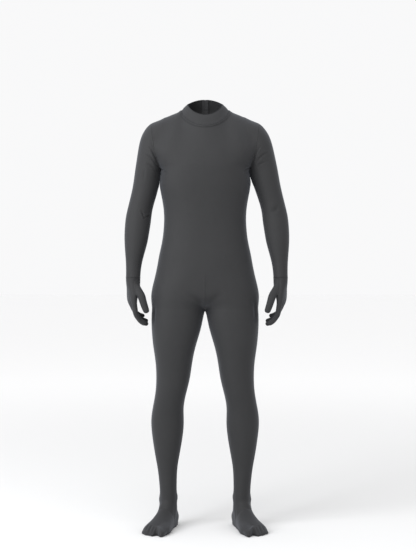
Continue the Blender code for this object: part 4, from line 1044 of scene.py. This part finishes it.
def shaped(surface):
    """The cloth with its creases, the swell of its seams and the ridge round the collar's foot."""
    gap = near_chains(surface, surface.chains(lambda kind: not is_edge(kind)))
    hands = (surface.points[:, 2] < WRIST) & (np.abs(surface.points[:, 0]) > HAND_SIDE)
    swell = SWELL * np.exp(-((gap / SWELL_WIDTH) ** 2)) * np.where(hands, HAND_SWELL, 1.0)
    collar = NODES.index("collar")
    foot = surface.chains(lambda kind: collar in kind and not is_edge(kind))
    evened(surface, foot)
    rounded_toes(surface)
    beyond = near_chains(surface, foot)
    below = np.ones(len(surface.points), bool)
    for face, owner in zip(surface.faces, surface.owner):
        if owner == collar:
            below[face] = False
    across = (beyond - NECK_BAND / 2) / (RIDGE_SPREAD * NECK_BAND)
    ridge = NECK_RIDGE * np.exp(-(across**2)) * below
    # Painted shade along the collar's two lines: darker cloth at its seam and at the line outside it.
    wide, deep = NECK_PAINTED_SHADE
    lines = np.exp(-((beyond / wide) ** 2)) + below * np.exp(-(((beyond - NECK_BAND) / wide) ** 2))
    folds = creased(surface)
    # Painted shade in the crease troughs, darker the deeper they are, then along the collar's lines.
    surface.groove = np.clip(-folds / CREASE_PAINTED_SHADE, 0, DARKEST_CREASE_SHADE)
    surface.groove += deep * np.minimum(lines, 1)
    surface.raised(swell + ridge + folds + swollen(surface) + pressed(surface))
    surface.points[:, 2] = np.maximum(surface.points[:, 2], FLOOR_LEVEL)
    surface.tree = BVHTree.FromPolygons([Vector(p) for p in surface.points], surface.faces)


def main():
    """All pieces of the suit, each with its material, put on the suit's body."""
    surface = Surface()
    shaped(surface)
    knit = knit_material()
    thread, tape, coil, metal = (plain_material(**finish) for finish in FINISHES)
    for number, cut in enumerate(CUTS):
        piece = placed(cloth_piece(surface, number, knit), "knit", cut["node"])
        list(cut["sewn_to"])
    placed(bars_object("seams", seam_bars(surface), SEAM_PROFILE, knit), "knit")
    placed(bars_object("turned_edges", rim_bars(surface), EDGE_PROFILE, knit), "knit")
    placed(stitches(surface, thread), "knit")
    placed(zip_teeth(coil), "coil", "zip_chain")
    for name, material in (("zip_tape", tape), ("zip_slider", metal), ("zip_pull", metal)):
        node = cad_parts[name]
        node.data.materials.clear()
        node.data.materials.append(material)


main()


# Light, floor and camera


# Soft lamps: where each stands, where it points, its two sizes, its power in watts and its colour
LAMPS = table(
    "name place target size power colour",
    ("key", (-3.0, -2.7, 1.0), (0, 0, -0.4), (2.8, 3.0), 170, (0.96, 0.98, 1.0)),
    ("fill", (2.4, -3.0, 0.4), (0, 0, -0.7), (2.0, 2.6), 14, (1, 1, 1)),
    ("top", (-0.4, -1.7, 2.3), (0, -0.1, -1.0), (2.2, 2.2), 34, (1, 1, 1)),
)


def area_light(name, place, target, size, power, colour):
    """A rectangular lamp that points at a place."""
    light = bpy.data.lights.new(name, "AREA")
    light.shape = "RECTANGLE"
    light.size, light.size_y = size
    light.energy = power
    light.color = colour
    obj = bpy.data.objects.new(name, light)
    obj.location = place
    obj.rotation_euler = (Vector(target) - Vector(place)).to_track_quat("-Z", "Y").to_euler()
    bpy.context.scene.collection.objects.link(obj)


PHOTO_HEIGHT = 555
FOCAL = 1211.0  # of the camera, in pixels of the photo
EYE = Vector((0.0107, -4.47, 0.925 - HOLD_HEIGHT))

camera = bpy.data.cameras.new("camera")
camera.sensor_fit = "VERTICAL"
camera.angle = 2 * atan(PHOTO_HEIGHT / 2 / FOCAL)
view = bpy.data.objects.new("camera", camera)
view.location = EYE
view.rotation_euler = (pi / 2, 0, 0)
bpy.context.scene.collection.objects.link(view)
bpy.context.scene.camera = view

FLOOR_HALF = 60.0
FLOOR_GAP = 0.0002  # under the soles
square = ((-1, -1), (1, -1), (1, 1), (-1, 1))
corners = [(a * FLOOR_HALF, b * FLOOR_HALF, FLOOR_LEVEL) for a, b in square]
floor = mesh_object("floor", corners, [[0, 1, 2, 3]])
floor.location.z = -FLOOR_GAP
floor.data.materials.append(floor_material())

BACKDROP = (0.945, 0.945, 0.95, 1)
world = bpy.data.worlds.new("studio")
world.use_nodes = True
world.node_tree.nodes["Background"].inputs["Color"].default_value = BACKDROP
world.node_tree.nodes["Background"].inputs["Strength"].default_value = 1.0
bpy.context.scene.world = world
bpy.context.scene.view_settings.view_transform = "Standard"
for lamp in LAMPS:
    area_light(**lamp)
